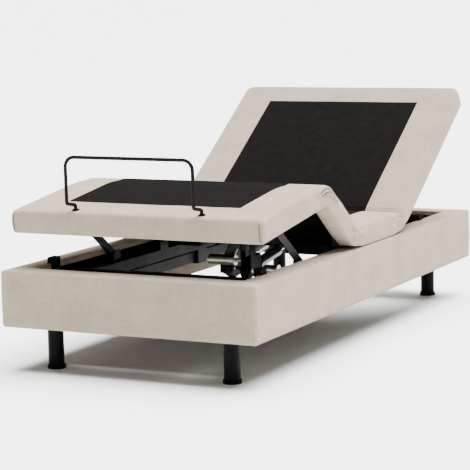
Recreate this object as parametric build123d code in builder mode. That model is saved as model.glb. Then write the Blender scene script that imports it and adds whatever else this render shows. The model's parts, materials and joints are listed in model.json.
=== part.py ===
"""Adjustable bed base: an upholstered rail box on four legs, and a four-panel deck on a
sliding carriage. Millimetres. +X across the bed, +Y from foot to head, +Z up, origin on the
floor under the middle of the rail box. The rest pose has the head, thigh and foot raised."""
import os
from math import cos, radians, sin, tan

from build123d import *

# ---- overall sizes -------------------------------------------------------------------
BASE_WIDTH = 965.0
BASE_LENGTH = 2020.0
LEG_HEIGHT = 152.0
RAIL_HEIGHT = 195.0
RAIL_THICKNESS = 85.0
RAIL_ROUND = 18.0
RAIL_CORE = 25.0
RAIL_PADDING = 12.0

# ---- deck panels ---------------------------------------------------------------------
DECK_INSET = 10.0
DECK_THICKNESS = 81.0
DECK_CLEARANCE = 1.5
SEAT_LENGTH = 430.0
THIGH_LENGTH = 284.0
FOOT_LENGTH = 514.0
HEAD_LENGTH = 790.0
SEAT_FOOT_EDGE = -165.0
HEAD_REST_ANGLE = 33.3
THIGH_REST_ANGLE = 37.6
FOOT_REST_ANGLE = 7.4
HEAD_TOP_ANGLE = 60.0
KNEE_TOP_ANGLE = 54.0
PANEL_GAP = 1.5
FOAM_THICKNESS = 12.0
SKIRT_WIDTH = 60.0
SKIRT_DROP = 22.0
PLY_THICKNESS = 15.0
PLY_SETBACK = 11.0
BATTEN_WIDTH = 40.0
INNER_BATTEN_X = 130.0
CROSS_BATTEN_WIDTH = 90.0
CLOTH_THICKNESS = 1.5
GRIP_WIDTH = 660.0
GRIP_FOOT_MARGIN = 140.0
GRIP_HEAD_MARGIN = 105.0
FIT = 0.5

# ---- butt hinges ---------------------------------------------------------------------
HINGE_X = 255.0
HINGE_WIDTH = 60.0
HINGE_LEAF = 46.0
HINGE_PLATE = 2.5
KNUCKLE_RADIUS = 5.0
PIN_RADIUS = 3.0
RUNNING_FIT = 0.05
KNUCKLE_GAP = 0.4
KNEE_AXIS_RISE = 6.0

# ---- carriage ------------------------------------------------------------------------
HUG_TRAVEL_BACK = 46.0
SIDE_TUBE_GAP = 12.5
TUBE_WIDTH = 25.0
TUBE_HEIGHT = 40.0
SIDE_TUBE_DROP = 47.0
SIDE_TUBE_FOOT_REACH = 475.0
SIDE_TUBE_HEAD_REACH = 35.0
SEAT_REST_GAP = 0.5
RISER_LENGTH = 60.0
RISER_INSETS = (15.0, 45.0)
BRACKET_PLATE = 4.0

# ---- base frame ----------------------------------------------------------------------
TRACK_DROP = 97.0
TRACK_HEIGHT = 40.0
TRACK_END_GAP = 30.0
SHOE_LENGTH = 70.0
SHOE_WALL = 6.0
SHOE_GRIP = 18.0
SHOE_INSETS = (80.0, 100.0)
END_TUBE_INSET = 60.0
LEG_INSET_X = 144.5
LEG_INSET_Y = 110.0
LEG_RADIUS = 27.5
GLIDE_RADIUS = 31.5
GLIDE_HEIGHT = 12.0
STUD_RADIUS = 5.0
STUD_LENGTH = 30.0
CORNER_BLOCK = 100.0
BUMPER_INSETS = (210.0, 370.0)
BUMPER_LENGTH = 42.0
BUMPER_LIP = 11.0
BUMPER_DROP = 27.0
BUMPER_CLEARANCE = 1.5
LINING_THICKNESS = 1.5
LINING_RISE = 50.0

# ---- lift parts ----------------------------------------------------------------------
LEG_DRIVE_X = 100.0
HEAD_DRIVE_X = -100.0
LIFT_PIN_RADIUS = 6.0
LEG_LEVER = (-20.9, -185.9)
LEG_CLEVIS = (240.0, -77.5)
LEG_LEVER_FOOT = -160.0
LEG_STROKE_BACK = 102.0
HEAD_LEVER = (30.5, -146.9)
HEAD_CLEVIS = (-315.0, -170.5)
HEAD_LEVER_FOOT = 60.0
HEAD_STROKE_BACK = 92.0
LEVER_WIDTH = 75.0
LEG_LEVER_TIP = (16.0, 16.0)
HEAD_LEVER_TIP = (24.0, 30.0)
LEVER_GAP = 34.0
EAR_THICKNESS = 4.0
EAR_SPREAD = 46.0
CLEVIS_GAP = 30.0
DRIVE_SLACK = 0.6
LEG_SLOT_SPAN = (3.2, 4.2)
LEG_SLOT_RISE = 3.8
HEAD_SLOT_ENDS = ((0.0, 1.0), (8.0, -11.5), (1.0, -14.0))
DRIVE_TUBE_RADIUS = 20.0
DRIVE_ROD_RADIUS = 11.0
ROD_CLEARANCE = 0.4
GEARBOX_LENGTH = 88.0
GEARBOX_HEIGHT = 24.0
GEARBOX_CROWN = 42.0
GEARBOX_WIDTH = 33.0
EYE_RADIUS = 14.0
EYE_WIDTH = 26.0
MOTOR_PLACE = (62.0, 18.0)
MOTOR_RADIUS = 19.0
MOTOR_LENGTH = 105.0
MOTOR_NECK = 58.0
MOTOR_NECK_RADIUS = 8.0
LINK_BACK = 200.0
LINK_DROP = 50.0
LINK_CARRIAGE = (-270.0, -72.5)
LINK_THICKNESS = 6.0
LINK_WIDTH = 32.0
LINK_GAP = 14.0
LINK_PIN_RADIUS = 5.0
LINK_SLACK = 2.6

# ---- retainer bar --------------------------------------------------------------------
BAR_SPAN = 480.0
BAR_RADIUS = 6.0
BAR_HEIGHT = 190.0
BAR_LEAN = 18.0
BAR_INSET = 38.0
BAR_OUTSET = 52.0
BAR_CORNER = 34.0
BAR_JOG_RISE = 34.0
BAR_DEPTH = 45.0
BAR_JOG_RADIUS = 8.0
SOCKET_RADIUS = 9.0
SOCKET_FLANGE = 13.0

# ---- control gear --------------------------------------------------------------------
BOX_SIZE = (160.0, 190.0, 42.0)
BOX_GAP = 15.0
BOX_Y = -8.0
SUPPLY_SIZE = (110.0, 150.0, 36.0)
SUPPLY_GAP = 18.0
SUPPLY_Y = 0.0
BOX_ROUND = 6.0

# ---- worked-out places ---------------------------------------------------------------
half_base = BASE_WIDTH / 2
half_length = BASE_LENGTH / 2
half_deck = half_base - DECK_INSET
rail_top = LEG_HEIGHT + RAIL_HEIGHT
rail_inner_x = half_base - RAIL_THICKNESS
rail_inner_y = half_length - RAIL_THICKNESS
deck_bottom = rail_top + DECK_CLEARANCE
ply_bottom = DECK_THICKNESS - FOAM_THICKNESS - PLY_THICKNESS
axis_z = deck_bottom + ply_bottom
head_edge = SEAT_FOOT_EDGE + SEAT_LENGTH
inner_half = half_deck - SKIRT_WIDTH
frame_half = inner_half - FIT
knee_drop = ply_bottom - KNEE_AXIS_RISE
leg_x = half_base - LEG_INSET_X
leg_y = half_length - LEG_INSET_Y
bumper_places = (BUMPER_INSETS[0] - half_length, half_length - BUMPER_INSETS[1])
track_inner = rail_inner_x - TUBE_WIDTH
side_tube_outer = track_inner - SIDE_TUBE_GAP
side_tube_x = side_tube_outer - TUBE_WIDTH
seat_rest_z = deck_bottom + SEAT_REST_GAP
side_tube_top = seat_rest_z - SIDE_TUBE_DROP
side_tube_bottom = side_tube_top - TUBE_HEIGHT
side_tube_foot = SEAT_FOOT_EDGE - SIDE_TUBE_FOOT_REACH
side_tube_head = head_edge + SIDE_TUBE_HEAD_REACH
track_bottom = side_tube_top - TRACK_DROP
shoe_places = (side_tube_foot + SHOE_INSETS[0], side_tube_head - SHOE_INSETS[1])
riser_places = (SEAT_FOOT_EDGE + RISER_INSETS[0], head_edge - RISER_INSETS[1])
leg_clevis = (SEAT_FOOT_EDGE + LEG_CLEVIS[0], axis_z + LEG_CLEVIS[1])
head_clevis = (head_edge + HEAD_CLEVIS[0], axis_z + HEAD_CLEVIS[1])
link_pivot = (SEAT_FOOT_EDGE + LINK_CARRIAGE[0], axis_z + LINK_CARRIAGE[1])
link_x = side_tube_outer + LINK_GAP
clevis_wrap = 3 * LIFT_PIN_RADIUS
carrier_tube_y = leg_clevis[0] + clevis_wrap


def turned(point, angle):
    """A (y, z) vector turned by an angle in degrees, from +Y towards +Z."""
    c, s = cos(radians(angle)), sin(radians(angle))
    return (point[0] * c - point[1] * s, point[0] * s + point[1] * c)


def side_plane(y, z, angle):
    """A plane facing +X, whose x runs headward along a panel tilted by the angle."""
    headward = (0, cos(radians(angle)), sin(radians(angle)))
    return Plane(origin=(0, y, z), x_dir=headward, z_dir=(1, 0, 0))


knee_offset = turned((-THIGH_LENGTH, -knee_drop), -THIGH_REST_ANGLE)
knee_y = SEAT_FOOT_EDGE + knee_offset[0]
knee_z = axis_z + knee_offset[1]
BASE = side_plane(0, 0, 0)
SEAT = side_plane(SEAT_FOOT_EDGE, axis_z, 0)
THIGH = side_plane(SEAT_FOOT_EDGE, axis_z, -THIGH_REST_ANGLE)
FOOT = side_plane(knee_y, knee_z, FOOT_REST_ANGLE)
HEAD = side_plane(head_edge, axis_z, HEAD_REST_ANGLE)


# ---- drawing helpers -----------------------------------------------------------------
def slab(plane, outline, x_from, x_to, mode=Mode.ADD):
    """A side outline, given as points on the plane, extruded across the bed."""
    low, high = sorted((x_from, x_to))
    with BuildSketch(plane.offset(low)) as face:
        with BuildLine():
            Polyline(*outline, close=True)
        make_face()
    extrude(face.sketch, amount=high - low, mode=mode)


def block(plane, u_from, u_to, v_from, v_to, x_from, x_to, mode=Mode.ADD):
    """A rectangular piece on a side plane, extruded across the bed."""
    outline = [(u_from, v_from), (u_to, v_from), (u_to, v_to), (u_from, v_to)]
    slab(plane, outline, x_from, x_to, mode)


def rod(plane, centre, radius, x_from, x_to, mode=Mode.ADD):
    """A round piece whose axis lies across the bed."""
    low, high = sorted((x_from, x_to))
    with BuildSketch(plane.offset(low)) as face:
        with Locations(centre):
            Circle(radius)
    extrude(face.sketch, amount=high - low, mode=mode)


def strap(plane, start, end, width, x_from, x_to):
    """A flat link with round ends between two pin centres."""
    low, high = sorted((x_from, x_to))
    with BuildSketch(plane.offset(low)) as face:
        with Locations(start, end):
            Circle(width / 2)
        make_hull()
    extrude(face.sketch, amount=high - low)


def save(piece, name):
    """Label one finished piece and write it."""
    piece.part.label = name
    export_step(piece.part, f"parts/{name}.step")


# ---- base: rails, lining, legs and rest bumpers ----------------------------------------
def rail_sizes():
    """Each rail's name, width, depth and centre."""
    side_y = BASE_LENGTH - 2 * RAIL_THICKNESS
    middle_x = half_base - RAIL_THICKNESS / 2
    middle_y = half_length - RAIL_THICKNESS / 2
    return (
        ("foot", BASE_WIDTH, RAIL_THICKNESS, (0, -middle_y)),
        ("head", BASE_WIDTH, RAIL_THICKNESS, (0, middle_y)),
        ("left", RAIL_THICKNESS, side_y, (-middle_x, 0)),
        ("right", RAIL_THICKNESS, side_y, (middle_x, 0)),
    )


def board_sketch():
    """Plan of the four wooden boards that stand inside the rails."""
    with BuildSketch(Plane.XY.offset(LEG_HEIGHT)) as plan:
        for _, width, depth, centre in rail_sizes():
            with Locations(centre):
                if width > depth:
                    Rectangle(width - 2 * RAIL_PADDING, RAIL_CORE)
                else:
                    Rectangle(RAIL_CORE, depth - 2 * RAIL_PADDING)
    return plan.sketch


def rails():
    """The four padded rail covers and the boards inside them."""
    for name, width, depth, centre in rail_sizes():
        with BuildPart() as cover:
            with BuildSketch(Plane.XY.offset(LEG_HEIGHT)):
                with Locations(centre):
                    Rectangle(width, depth)
            extrude(amount=RAIL_HEIGHT)
            top_edges = cover.faces().sort_by(Axis.Z)[-1].edges()
            fillet(top_edges if width > depth else top_edges.filter_by(Axis.Y), RAIL_ROUND)
            extrude(board_sketch(), amount=RAIL_HEIGHT - RAIL_PADDING, mode=Mode.SUBTRACT)
        save(cover, f"{name}_rail_cover")

    with BuildPart() as boards:
        extrude(board_sketch(), amount=RAIL_HEIGHT - RAIL_PADDING)
    save(boards, "rail_boards")


def rail_lining():
    """Thin black lining on the upper part of the rails' inner faces."""
    with BuildPart() as lining:
        with BuildSketch(Plane.XY.offset(LEG_HEIGHT + LINING_RISE)):
            Rectangle(2 * rail_inner_x, 2 * rail_inner_y)
            Rectangle(
                2 * (rail_inner_x - LINING_THICKNESS),
                2 * (rail_inner_y - LINING_THICKNESS),
                mode=Mode.SUBTRACT,
            )
        extrude(amount=RAIL_HEIGHT - LINING_RISE - RAIL_ROUND)
    save(lining, "rail_lining")


def track_frame():
    """The steel side tubes that the carriage runs on, and the end tubes between them."""
    end = rail_inner_y - TRACK_END_GAP
    outer = rail_inner_x - LINING_THICKNESS
    top = track_bottom + TRACK_HEIGHT
    with BuildPart() as tubes:
        for side in (-1, 1):
            block(BASE, -end, end, track_bottom, top, side * track_inner, side * outer)
        for y in (-rail_inner_y + END_TUBE_INSET, rail_inner_y - END_TUBE_INSET):
            block(BASE, y - TUBE_WIDTH / 2, y + TUBE_WIDTH / 2, track_bottom, top,
                  -track_inner, track_inner)
    save(tubes, "track_frame")


def legs():
    """Four round legs on glides, screwed up into wooden blocks in the corners."""
    places = [(x, y) for x in (-leg_x, leg_x) for y in (-leg_y, leg_y)]
    with BuildPart() as posts:
        with BuildSketch(Plane.XY.offset(GLIDE_HEIGHT)):
            with Locations(places):
                Circle(LEG_RADIUS)
        extrude(amount=LEG_HEIGHT - GLIDE_HEIGHT)
        with BuildSketch(Plane.XY.offset(LEG_HEIGHT)):
            with Locations(places):
                Circle(STUD_RADIUS)
        extrude(amount=STUD_LENGTH)
    save(posts, "legs")

    with BuildPart() as glides:
        with BuildSketch():
            with Locations(places):
                Circle(GLIDE_RADIUS)
        extrude(amount=GLIDE_HEIGHT)
        chamfer(glides.faces().sort_by(Axis.Z)[-1].edges(), GLIDE_HEIGHT / 4)
    save(glides, "leg_glides")

    with BuildPart() as blocks:
        with BuildSketch(Plane.XY.offset(LEG_HEIGHT)):
            Rectangle(2 * rail_inner_x, 2 * rail_inner_y)
            Rectangle(2 * leg_x - CORNER_BLOCK, 2 * rail_inner_y, mode=Mode.SUBTRACT)
            Rectangle(2 * rail_inner_x, 2 * leg_y - CORNER_BLOCK, mode=Mode.SUBTRACT)
            with Locations(places):
                Circle(STUD_RADIUS, mode=Mode.SUBTRACT)
        extrude(amount=LINING_RISE)
    save(blocks, "corner_blocks")


def rest_bumpers():
    """Four rubber blocks, hooked over the side rails, that the raised panels come down on."""
    top = deck_bottom + SKIRT_DROP - BUMPER_CLEARANCE
    face = rail_inner_x - LINING_THICKNESS
    with BuildPart() as bumpers:
        for y in bumper_places:
            ends = (y - BUMPER_LENGTH / 2, y + BUMPER_LENGTH / 2)
            for side in (-1, 1):
                block(BASE, *ends, rail_top, top, side * (face - BUMPER_LIP),
                      side * (frame_half - FIT))
                block(BASE, *ends, rail_top - BUMPER_DROP, rail_top,
                      side * (face - BUMPER_LIP), side * face)
    save(bumpers, "rest_bumpers")


# ---- deck panels -----------------------------------------------------------------------
def panel_pad(name, plane, outline, cavity):
    """A panel's padded cover: foam over the top and a skirt down the sides and free end."""
    with BuildPart() as pad:
        slab(plane, outline, -half_deck, half_deck)
        block(plane, *cavity, -inner_half, inner_half, mode=Mode.SUBTRACT)
        if name == "foot":
            socket_holes()
    save(pad, f"{name}_pad")


def deck_frame(name, plane, ends, ply_low, bottom, cross_battens):
    """A panel's wooden frame: plywood, with battens along and across under it."""
    outer_centre = frame_half - BATTEN_WIDTH / 2
    with BuildPart() as frame:
        block(plane, *ends, ply_low, ply_low + PLY_THICKNESS, -frame_half, frame_half)
        for centre in (-outer_centre, -INNER_BATTEN_X, INNER_BATTEN_X, outer_centre):
            block(plane, *ends, bottom, ply_low, centre - BATTEN_WIDTH / 2,
                  centre + BATTEN_WIDTH / 2)
        for u_from, u_to, low in cross_battens:
            block(plane, u_from, u_to, low, ply_low, -frame_half, frame_half)
    save(frame, f"{name}_frame")


def cloth(name, plane, u_from, u_to, top):
    """The black dust cloth that closes a panel's underside."""
    with BuildPart() as sheet:
        block(plane, u_from, u_to, top - CLOTH_THICKNESS, top, -frame_half, frame_half)
    save(sheet, f"{name}_dust_cloth")


def grip(name, plane, u_from, u_to, top):
    """The grip fabric that keeps the mattress from sliding."""
    with BuildPart() as sheet:
        block(plane, u_from, u_to, top, top + CLOTH_THICKNESS, -GRIP_WIDTH / 2, GRIP_WIDTH / 2)
    save(sheet, f"{name}_grip")


panel_top = DECK_THICKNESS - ply_bottom
panel_bottom = -ply_bottom
cloth_top = panel_bottom + SKIRT_DROP + CLOTH_THICKNESS
knee_top = DECK_THICKNESS - KNEE_AXIS_RISE
knee_cloth_top = -KNEE_AXIS_RISE + SKIRT_DROP + CLOTH_THICKNESS
crease_run = panel_top * tan(radians(HEAD_TOP_ANGLE / 2)) + PANEL_GAP
knee_run = KNEE_AXIS_RISE * tan(radians(KNEE_TOP_ANGLE / 2)) + PANEL_GAP
end_batten = PLY_SETBACK + BATTEN_WIDTH


def seat_panel():
    outline = [
        (PANEL_GAP, panel_bottom), (SEAT_LENGTH - PANEL_GAP, panel_bottom),
        (SEAT_LENGTH - PANEL_GAP, 0), (SEAT_LENGTH - crease_run, panel_top),
        (crease_run, panel_top), (PANEL_GAP, 0),
    ]
    panel_pad("seat", SEAT, outline, (-PANEL_GAP, SEAT_LENGTH + PANEL_GAP, panel_bottom,
                                      PLY_THICKNESS))
    ends = (PLY_SETBACK, SEAT_LENGTH - PLY_SETBACK)
    low = seat_rest_z - axis_z
    middle = SEAT_LENGTH / 2
    cross = [(middle - CROSS_BATTEN_WIDTH / 2, middle + CROSS_BATTEN_WIDTH / 2, low)]
    deck_frame("seat", SEAT, ends, 0, low, cross)
    grip("seat", SEAT, crease_run, SEAT_LENGTH - crease_run, panel_top)


def head_panel():
    outline = [
        (PANEL_GAP, panel_bottom), (HEAD_LENGTH, panel_bottom), (HEAD_LENGTH, panel_top),
        (crease_run, panel_top), (PANEL_GAP, 0),
    ]
    free_end = HEAD_LENGTH - SKIRT_WIDTH
    panel_pad("head", HEAD, outline, (-PANEL_GAP, free_end, panel_bottom, PLY_THICKNESS))
    ends = (PLY_SETBACK, free_end - FIT)
    cross = [
        (HEAD_LEVER_FOOT, HEAD_LEVER_FOOT + CROSS_BATTEN_WIDTH, cloth_top),
        (free_end - FIT - BATTEN_WIDTH, free_end - FIT, cloth_top),
    ]
    deck_frame("head", HEAD, ends, 0, cloth_top, cross)
    cloth("head", HEAD, *ends, cloth_top)
    grip("head", HEAD, crease_run, HEAD_LENGTH - GRIP_HEAD_MARGIN, panel_top)


def thigh_panel():
    outline = [
        (-PANEL_GAP, panel_bottom), (-PANEL_GAP, 0), (-crease_run, panel_top),
        (-THIGH_LENGTH + PANEL_GAP, panel_top), (-THIGH_LENGTH + PANEL_GAP, -knee_drop),
        (-THIGH_LENGTH + knee_run, panel_bottom),
    ]
    panel_pad("thigh", THIGH, outline, (-THIGH_LENGTH - PANEL_GAP, PANEL_GAP, panel_bottom,
                                        PLY_THICKNESS))
    ends = (-THIGH_LENGTH + PLY_SETBACK, -PLY_SETBACK)
    knee_batten = (ends[0], -THIGH_LENGTH + end_batten, -knee_drop)
    cross = [(LEG_LEVER_FOOT, LEG_LEVER_FOOT + CROSS_BATTEN_WIDTH, cloth_top), knee_batten]
    deck_frame("thigh", THIGH, ends, 0, cloth_top, cross)
    cloth("thigh", THIGH, -THIGH_LENGTH + end_batten, -PLY_SETBACK, cloth_top)
    grip("thigh", THIGH, -THIGH_LENGTH + PANEL_GAP, -crease_run, panel_top)


def foot_panel():
    outline = [
        (-FOOT_LENGTH, -KNEE_AXIS_RISE), (-knee_run, -KNEE_AXIS_RISE), (-PANEL_GAP, 0),
        (-PANEL_GAP, knee_top), (-FOOT_LENGTH, knee_top),
    ]
    free_end = -FOOT_LENGTH + SKIRT_WIDTH
    panel_pad("foot", FOOT, outline, (free_end, PANEL_GAP, -KNEE_AXIS_RISE,
                                      knee_top - FOAM_THICKNESS))
    ends = (free_end + FIT, -PLY_SETBACK)
    cross = [
        (-end_batten, -PLY_SETBACK, 0),
        (-LINK_BACK - CROSS_BATTEN_WIDTH / 2, -LINK_BACK + CROSS_BATTEN_WIDTH / 2,
         knee_cloth_top),
        (ends[0], ends[0] + BATTEN_WIDTH, knee_cloth_top),
    ]
    deck_frame("foot", FOOT, ends, knee_drop, knee_cloth_top, cross)
    cloth("foot", FOOT, ends[0], -end_batten, knee_cloth_top)
    grip("foot", FOOT, -FOOT_LENGTH + GRIP_FOOT_MARGIN, -PANEL_GAP, knee_top)


# ---- hinges ----------------------------------------------------------------------------
def hinge_leaf(plane, at, way, knuckles):
    """The leaves of one panel's two butt hinges, with their knuckles, on one axis."""
    third = HINGE_WIDTH / 3
    for centre in (-HINGE_X, HINGE_X):
        start = centre - HINGE_WIDTH / 2
        block(plane, at[0] + way * (KNUCKLE_RADIUS + KNUCKLE_GAP), at[0] + way * HINGE_LEAF,
              at[1] - HINGE_PLATE, at[1], start, start + HINGE_WIDTH)
        for index in knuckles:
            low = start + index * third + KNUCKLE_GAP
            high = start + (index + 1) * third - KNUCKLE_GAP
            block(plane, at[0], at[0] + way * (KNUCKLE_RADIUS + 2 * KNUCKLE_GAP),
                  at[1] - HINGE_PLATE, at[1], low, high)
            rod(plane, at, KNUCKLE_RADIUS, low, high)
            rod(plane, at, PIN_RADIUS + RUNNING_FIT, low, high, mode=Mode.SUBTRACT)


def hinge_pins(plane, at):
    """The pins of the two hinges on one axis."""
    for centre in (-HINGE_X, HINGE_X):
        rod(plane, at, PIN_RADIUS, centre - HINGE_WIDTH / 2, centre + HINGE_WIDTH / 2)


def hinges():
    """Butt hinges between head, seat, thigh and foot."""
    head_axis = (SEAT_LENGTH, 0)
    knee_axis = (-THIGH_LENGTH, -knee_drop)
    outer, middle = (0, 2), (1,)
    with BuildPart() as seat_leaves:
        hinge_leaf(SEAT, head_axis, -1, outer)
        hinge_leaf(SEAT, (0, 0), 1, outer)
    save(seat_leaves, "seat_hinge_leaves")
    with BuildPart() as seat_pins:
        hinge_pins(SEAT, head_axis)
        hinge_pins(SEAT, (0, 0))
    save(seat_pins, "seat_hinge_pins")
    with BuildPart() as head_leaves:
        hinge_leaf(HEAD, (0, 0), 1, middle)
    save(head_leaves, "head_hinge_leaves")
    with BuildPart() as thigh_leaves:
        hinge_leaf(THIGH, (0, 0), -1, middle)
        hinge_leaf(THIGH, knee_axis, 1, outer)
    save(thigh_leaves, "thigh_hinge_leaves")
    with BuildPart() as knee_pins:
        hinge_pins(THIGH, knee_axis)
    save(knee_pins, "knee_hinge_pins")
    with BuildPart() as foot_leaves:
        hinge_leaf(FOOT, (0, 0), -1, middle)
    save(foot_leaves, "foot_hinge_leaves")


# ---- carriage --------------------------------------------------------------------------
def carriage():
    """The sliding steel frame that carries the whole deck, on its plastic shoes."""
    with BuildPart() as frame:
        for side in (-1, 1):
            edges = (side * side_tube_x, side * side_tube_outer)
            block(BASE, side_tube_foot, side_tube_head, side_tube_bottom, side_tube_top, *edges)
            for y in riser_places:
                block(BASE, y, y + RISER_LENGTH, side_tube_top, seat_rest_z, *edges)
        block(BASE, side_tube_foot, side_tube_foot + TUBE_WIDTH, side_tube_bottom,
              side_tube_top, -side_tube_x, side_tube_x)
        block(BASE, carrier_tube_y, carrier_tube_y + TUBE_WIDTH, side_tube_top, seat_rest_z,
              -side_tube_outer, side_tube_outer)
    save(frame, "carriage_frame")

    plate_outer = side_tube_outer + BRACKET_PLATE
    with BuildPart() as hangers:
        for y in shoe_places:
            for side in (-1, 1):
                block(BASE, y, y + SHOE_LENGTH, track_bottom, side_tube_top,
                      side * side_tube_outer, side * plate_outer)
    save(hangers, "shoe_hangers")

    groove = track_inner - FIT
    with BuildPart() as shoes:
        for y in shoe_places:
            for side in (-1, 1):
                block(BASE, y, y + SHOE_LENGTH, track_bottom - FIT - SHOE_WALL,
                      track_bottom + TRACK_HEIGHT + FIT + SHOE_WALL,
                      side * plate_outer, side * (groove + SHOE_GRIP))
                block(BASE, y, y + SHOE_LENGTH, track_bottom - FIT,
                      track_bottom + TRACK_HEIGHT + FIT,
                      side * groove, side * (groove + SHOE_GRIP), mode=Mode.SUBTRACT)
    save(shoes, "glide_shoes")


def slot_cut(plane, centres, radius, x_from, x_to):
    """Cut a slot whose round ends lie at the given centres."""
    with BuildSketch(plane.offset(x_from)) as face:
        with Locations(*centres):
            Circle(radius)
        make_hull()
    extrude(face.sketch, amount=x_to - x_from, mode=Mode.SUBTRACT)


def drive_brackets():
    """Ears on the carrier tube that hold the two drives' clevis pins."""
    y, z = leg_clevis
    back, forward = LEG_SLOT_SPAN
    head_y, head_z = head_clevis
    wrap = clevis_wrap
    with BuildPart() as leg_ears:
        for side in (-1, 1):
            inner = LEG_DRIVE_X + side * CLEVIS_GAP / 2
            low, high = sorted((inner, inner + side * EAR_THICKNESS))
            block(BASE, y - wrap, carrier_tube_y, side_tube_top, seat_rest_z, low, high)
            slot_cut(BASE, [(y - back, z), (y + forward, z)],
                     LIFT_PIN_RADIUS + LEG_SLOT_RISE, low, high)
    save(leg_ears, "leg_drive_ears")

    outline = [
        (carrier_tube_y, side_tube_top), (carrier_tube_y, seat_rest_z),
        (carrier_tube_y - TUBE_HEIGHT, seat_rest_z), (head_y - wrap, head_z + wrap),
        (head_y - wrap, head_z - wrap), (head_y + wrap, head_z - wrap),
    ]
    with BuildPart() as head_ears:
        for side in (-1, 1):
            inner = HEAD_DRIVE_X + side * EAR_SPREAD / 2
            outer = inner + side * EAR_THICKNESS
            slab(BASE, outline, inner, outer)
            rod(BASE, head_clevis, LIFT_PIN_RADIUS, inner, outer, mode=Mode.SUBTRACT)
    save(head_ears, "head_drive_ears")
    across_pin("head_drive_rear_pin", BASE, head_clevis, HEAD_DRIVE_X,
               EAR_SPREAD / 2 + EAR_THICKNESS)


# ---- lift levers and drives -------------------------------------------------------------
def across_pin(name, plane, centre, x, half_width):
    """A clevis pin lying across the bed."""
    with BuildPart() as pin:
        rod(plane, centre, LIFT_PIN_RADIUS, x - half_width, x + half_width)
    save(pin, name)


def lever(name, plane, tip, tip_size, foot, x, hole):
    """Two lever plates under a panel, welded to a flange that screws to its cross batten."""
    flange_top = cloth_top - CLOTH_THICKNESS
    flange_low = flange_top - EAR_THICKNESS
    reach = LEVER_GAP / 2 + EAR_THICKNESS
    half, drop = tip_size
    outline = [
        (foot, flange_low), (foot + LEVER_WIDTH, flange_low), (tip[0] + half, tip[1] + half / 2),
        (tip[0] + half, tip[1] - drop + half / 2), (tip[0] + half / 2, tip[1] - drop),
        (tip[0] - half / 2, tip[1] - drop), (tip[0] - half, tip[1] - drop + half / 2),
        (tip[0] - half, tip[1] + half / 2),
    ]
    with BuildPart() as plates:
        block(plane, foot, foot + LEVER_WIDTH, flange_low, flange_top, x - 2 * reach,
              x + 2 * reach)
        for low in (x - reach, x + LEVER_GAP / 2):
            slab(plane, outline, low, low + EAR_THICKNESS)
            hole(plane, low, low + EAR_THICKNESS)
    save(plates, name)


def leg_lever_hole(plane, low, high):
    rod(plane, LEG_LEVER, LIFT_PIN_RADIUS, low, high, mode=Mode.SUBTRACT)


def head_lever_slot(plane, low, high):
    centres = [(HEAD_LEVER[0] + u, HEAD_LEVER[1] + v) for u, v in HEAD_SLOT_ENDS]
    slot_cut(plane, centres, LIFT_PIN_RADIUS + DRIVE_SLACK, low, high)


def drive(name, start, end, x, stroke_back, crown_way, motor_side):
    """A linear drive from its rear pin to its rod's eye: housing, motor and rod."""
    run = Vector(*end) - Vector(*start)
    length = run.length
    plane = Plane(origin=(0, *start), x_dir=(0, run.X / length, run.Y / length),
                  z_dir=(1, 0, 0))
    half = GEARBOX_WIDTH / 2
    tube_end = length - stroke_back - EYE_RADIUS - FIT
    rod_start = GEARBOX_LENGTH + stroke_back + FIT
    with BuildPart() as housing:
        slab(plane, [
            (-GEARBOX_HEIGHT, -GEARBOX_HEIGHT / 2 * crown_way),
            (-GEARBOX_HEIGHT / 2, -GEARBOX_HEIGHT * crown_way),
            (GEARBOX_LENGTH, -GEARBOX_HEIGHT * crown_way),
            (GEARBOX_LENGTH, GEARBOX_CROWN * crown_way),
            (GEARBOX_HEIGHT, GEARBOX_CROWN * crown_way),
            (-GEARBOX_HEIGHT, GEARBOX_HEIGHT / 2 * crown_way),
        ], x - half, x + half)
        rod(plane, (0, 0), LIFT_PIN_RADIUS + RUNNING_FIT, x - half, x + half,
            mode=Mode.SUBTRACT)
    save(housing, f"{name}_gearbox")

    barrel_plane = Plane(origin=plane.from_local_coords((GEARBOX_LENGTH, 0, x)),
                         x_dir=(1, 0, 0), z_dir=plane.x_dir)
    with BuildPart() as barrel:
        with BuildSketch(barrel_plane) as ring:
            Circle(DRIVE_TUBE_RADIUS)
            Circle(DRIVE_ROD_RADIUS + ROD_CLEARANCE, mode=Mode.SUBTRACT)
        extrude(ring.sketch, amount=tube_end - GEARBOX_LENGTH)
    save(barrel, f"{name}_barrel")

    motor_at = (MOTOR_PLACE[0], MOTOR_PLACE[1] * crown_way)
    face = x + motor_side * half
    can_near = face + motor_side * MOTOR_NECK
    with BuildPart() as motor:
        rod(plane, motor_at, MOTOR_NECK_RADIUS, can_near, face)
        rod(plane, motor_at, MOTOR_RADIUS, can_near + motor_side * MOTOR_LENGTH, can_near)
    save(motor, f"{name}_motor")

    rod_plane = Plane(origin=plane.from_local_coords((rod_start, 0, x)),
                      x_dir=(1, 0, 0), z_dir=plane.x_dir)
    with BuildPart() as push_rod:
        with BuildSketch(rod_plane) as disc:
            Circle(DRIVE_ROD_RADIUS)
        extrude(disc.sketch, amount=length - rod_start)
        rod(plane, (length, 0), EYE_RADIUS, x - EYE_WIDTH / 2, x + EYE_WIDTH / 2)
        rod(plane, (length, 0), LIFT_PIN_RADIUS, x - EYE_WIDTH / 2, x + EYE_WIDTH / 2,
            mode=Mode.SUBTRACT)
    save(push_rod, f"{name}_rod")
    across_pin(f"{name}_front_pin", plane, (length, 0), x, LEVER_GAP / 2 + EAR_THICKNESS)


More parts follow.
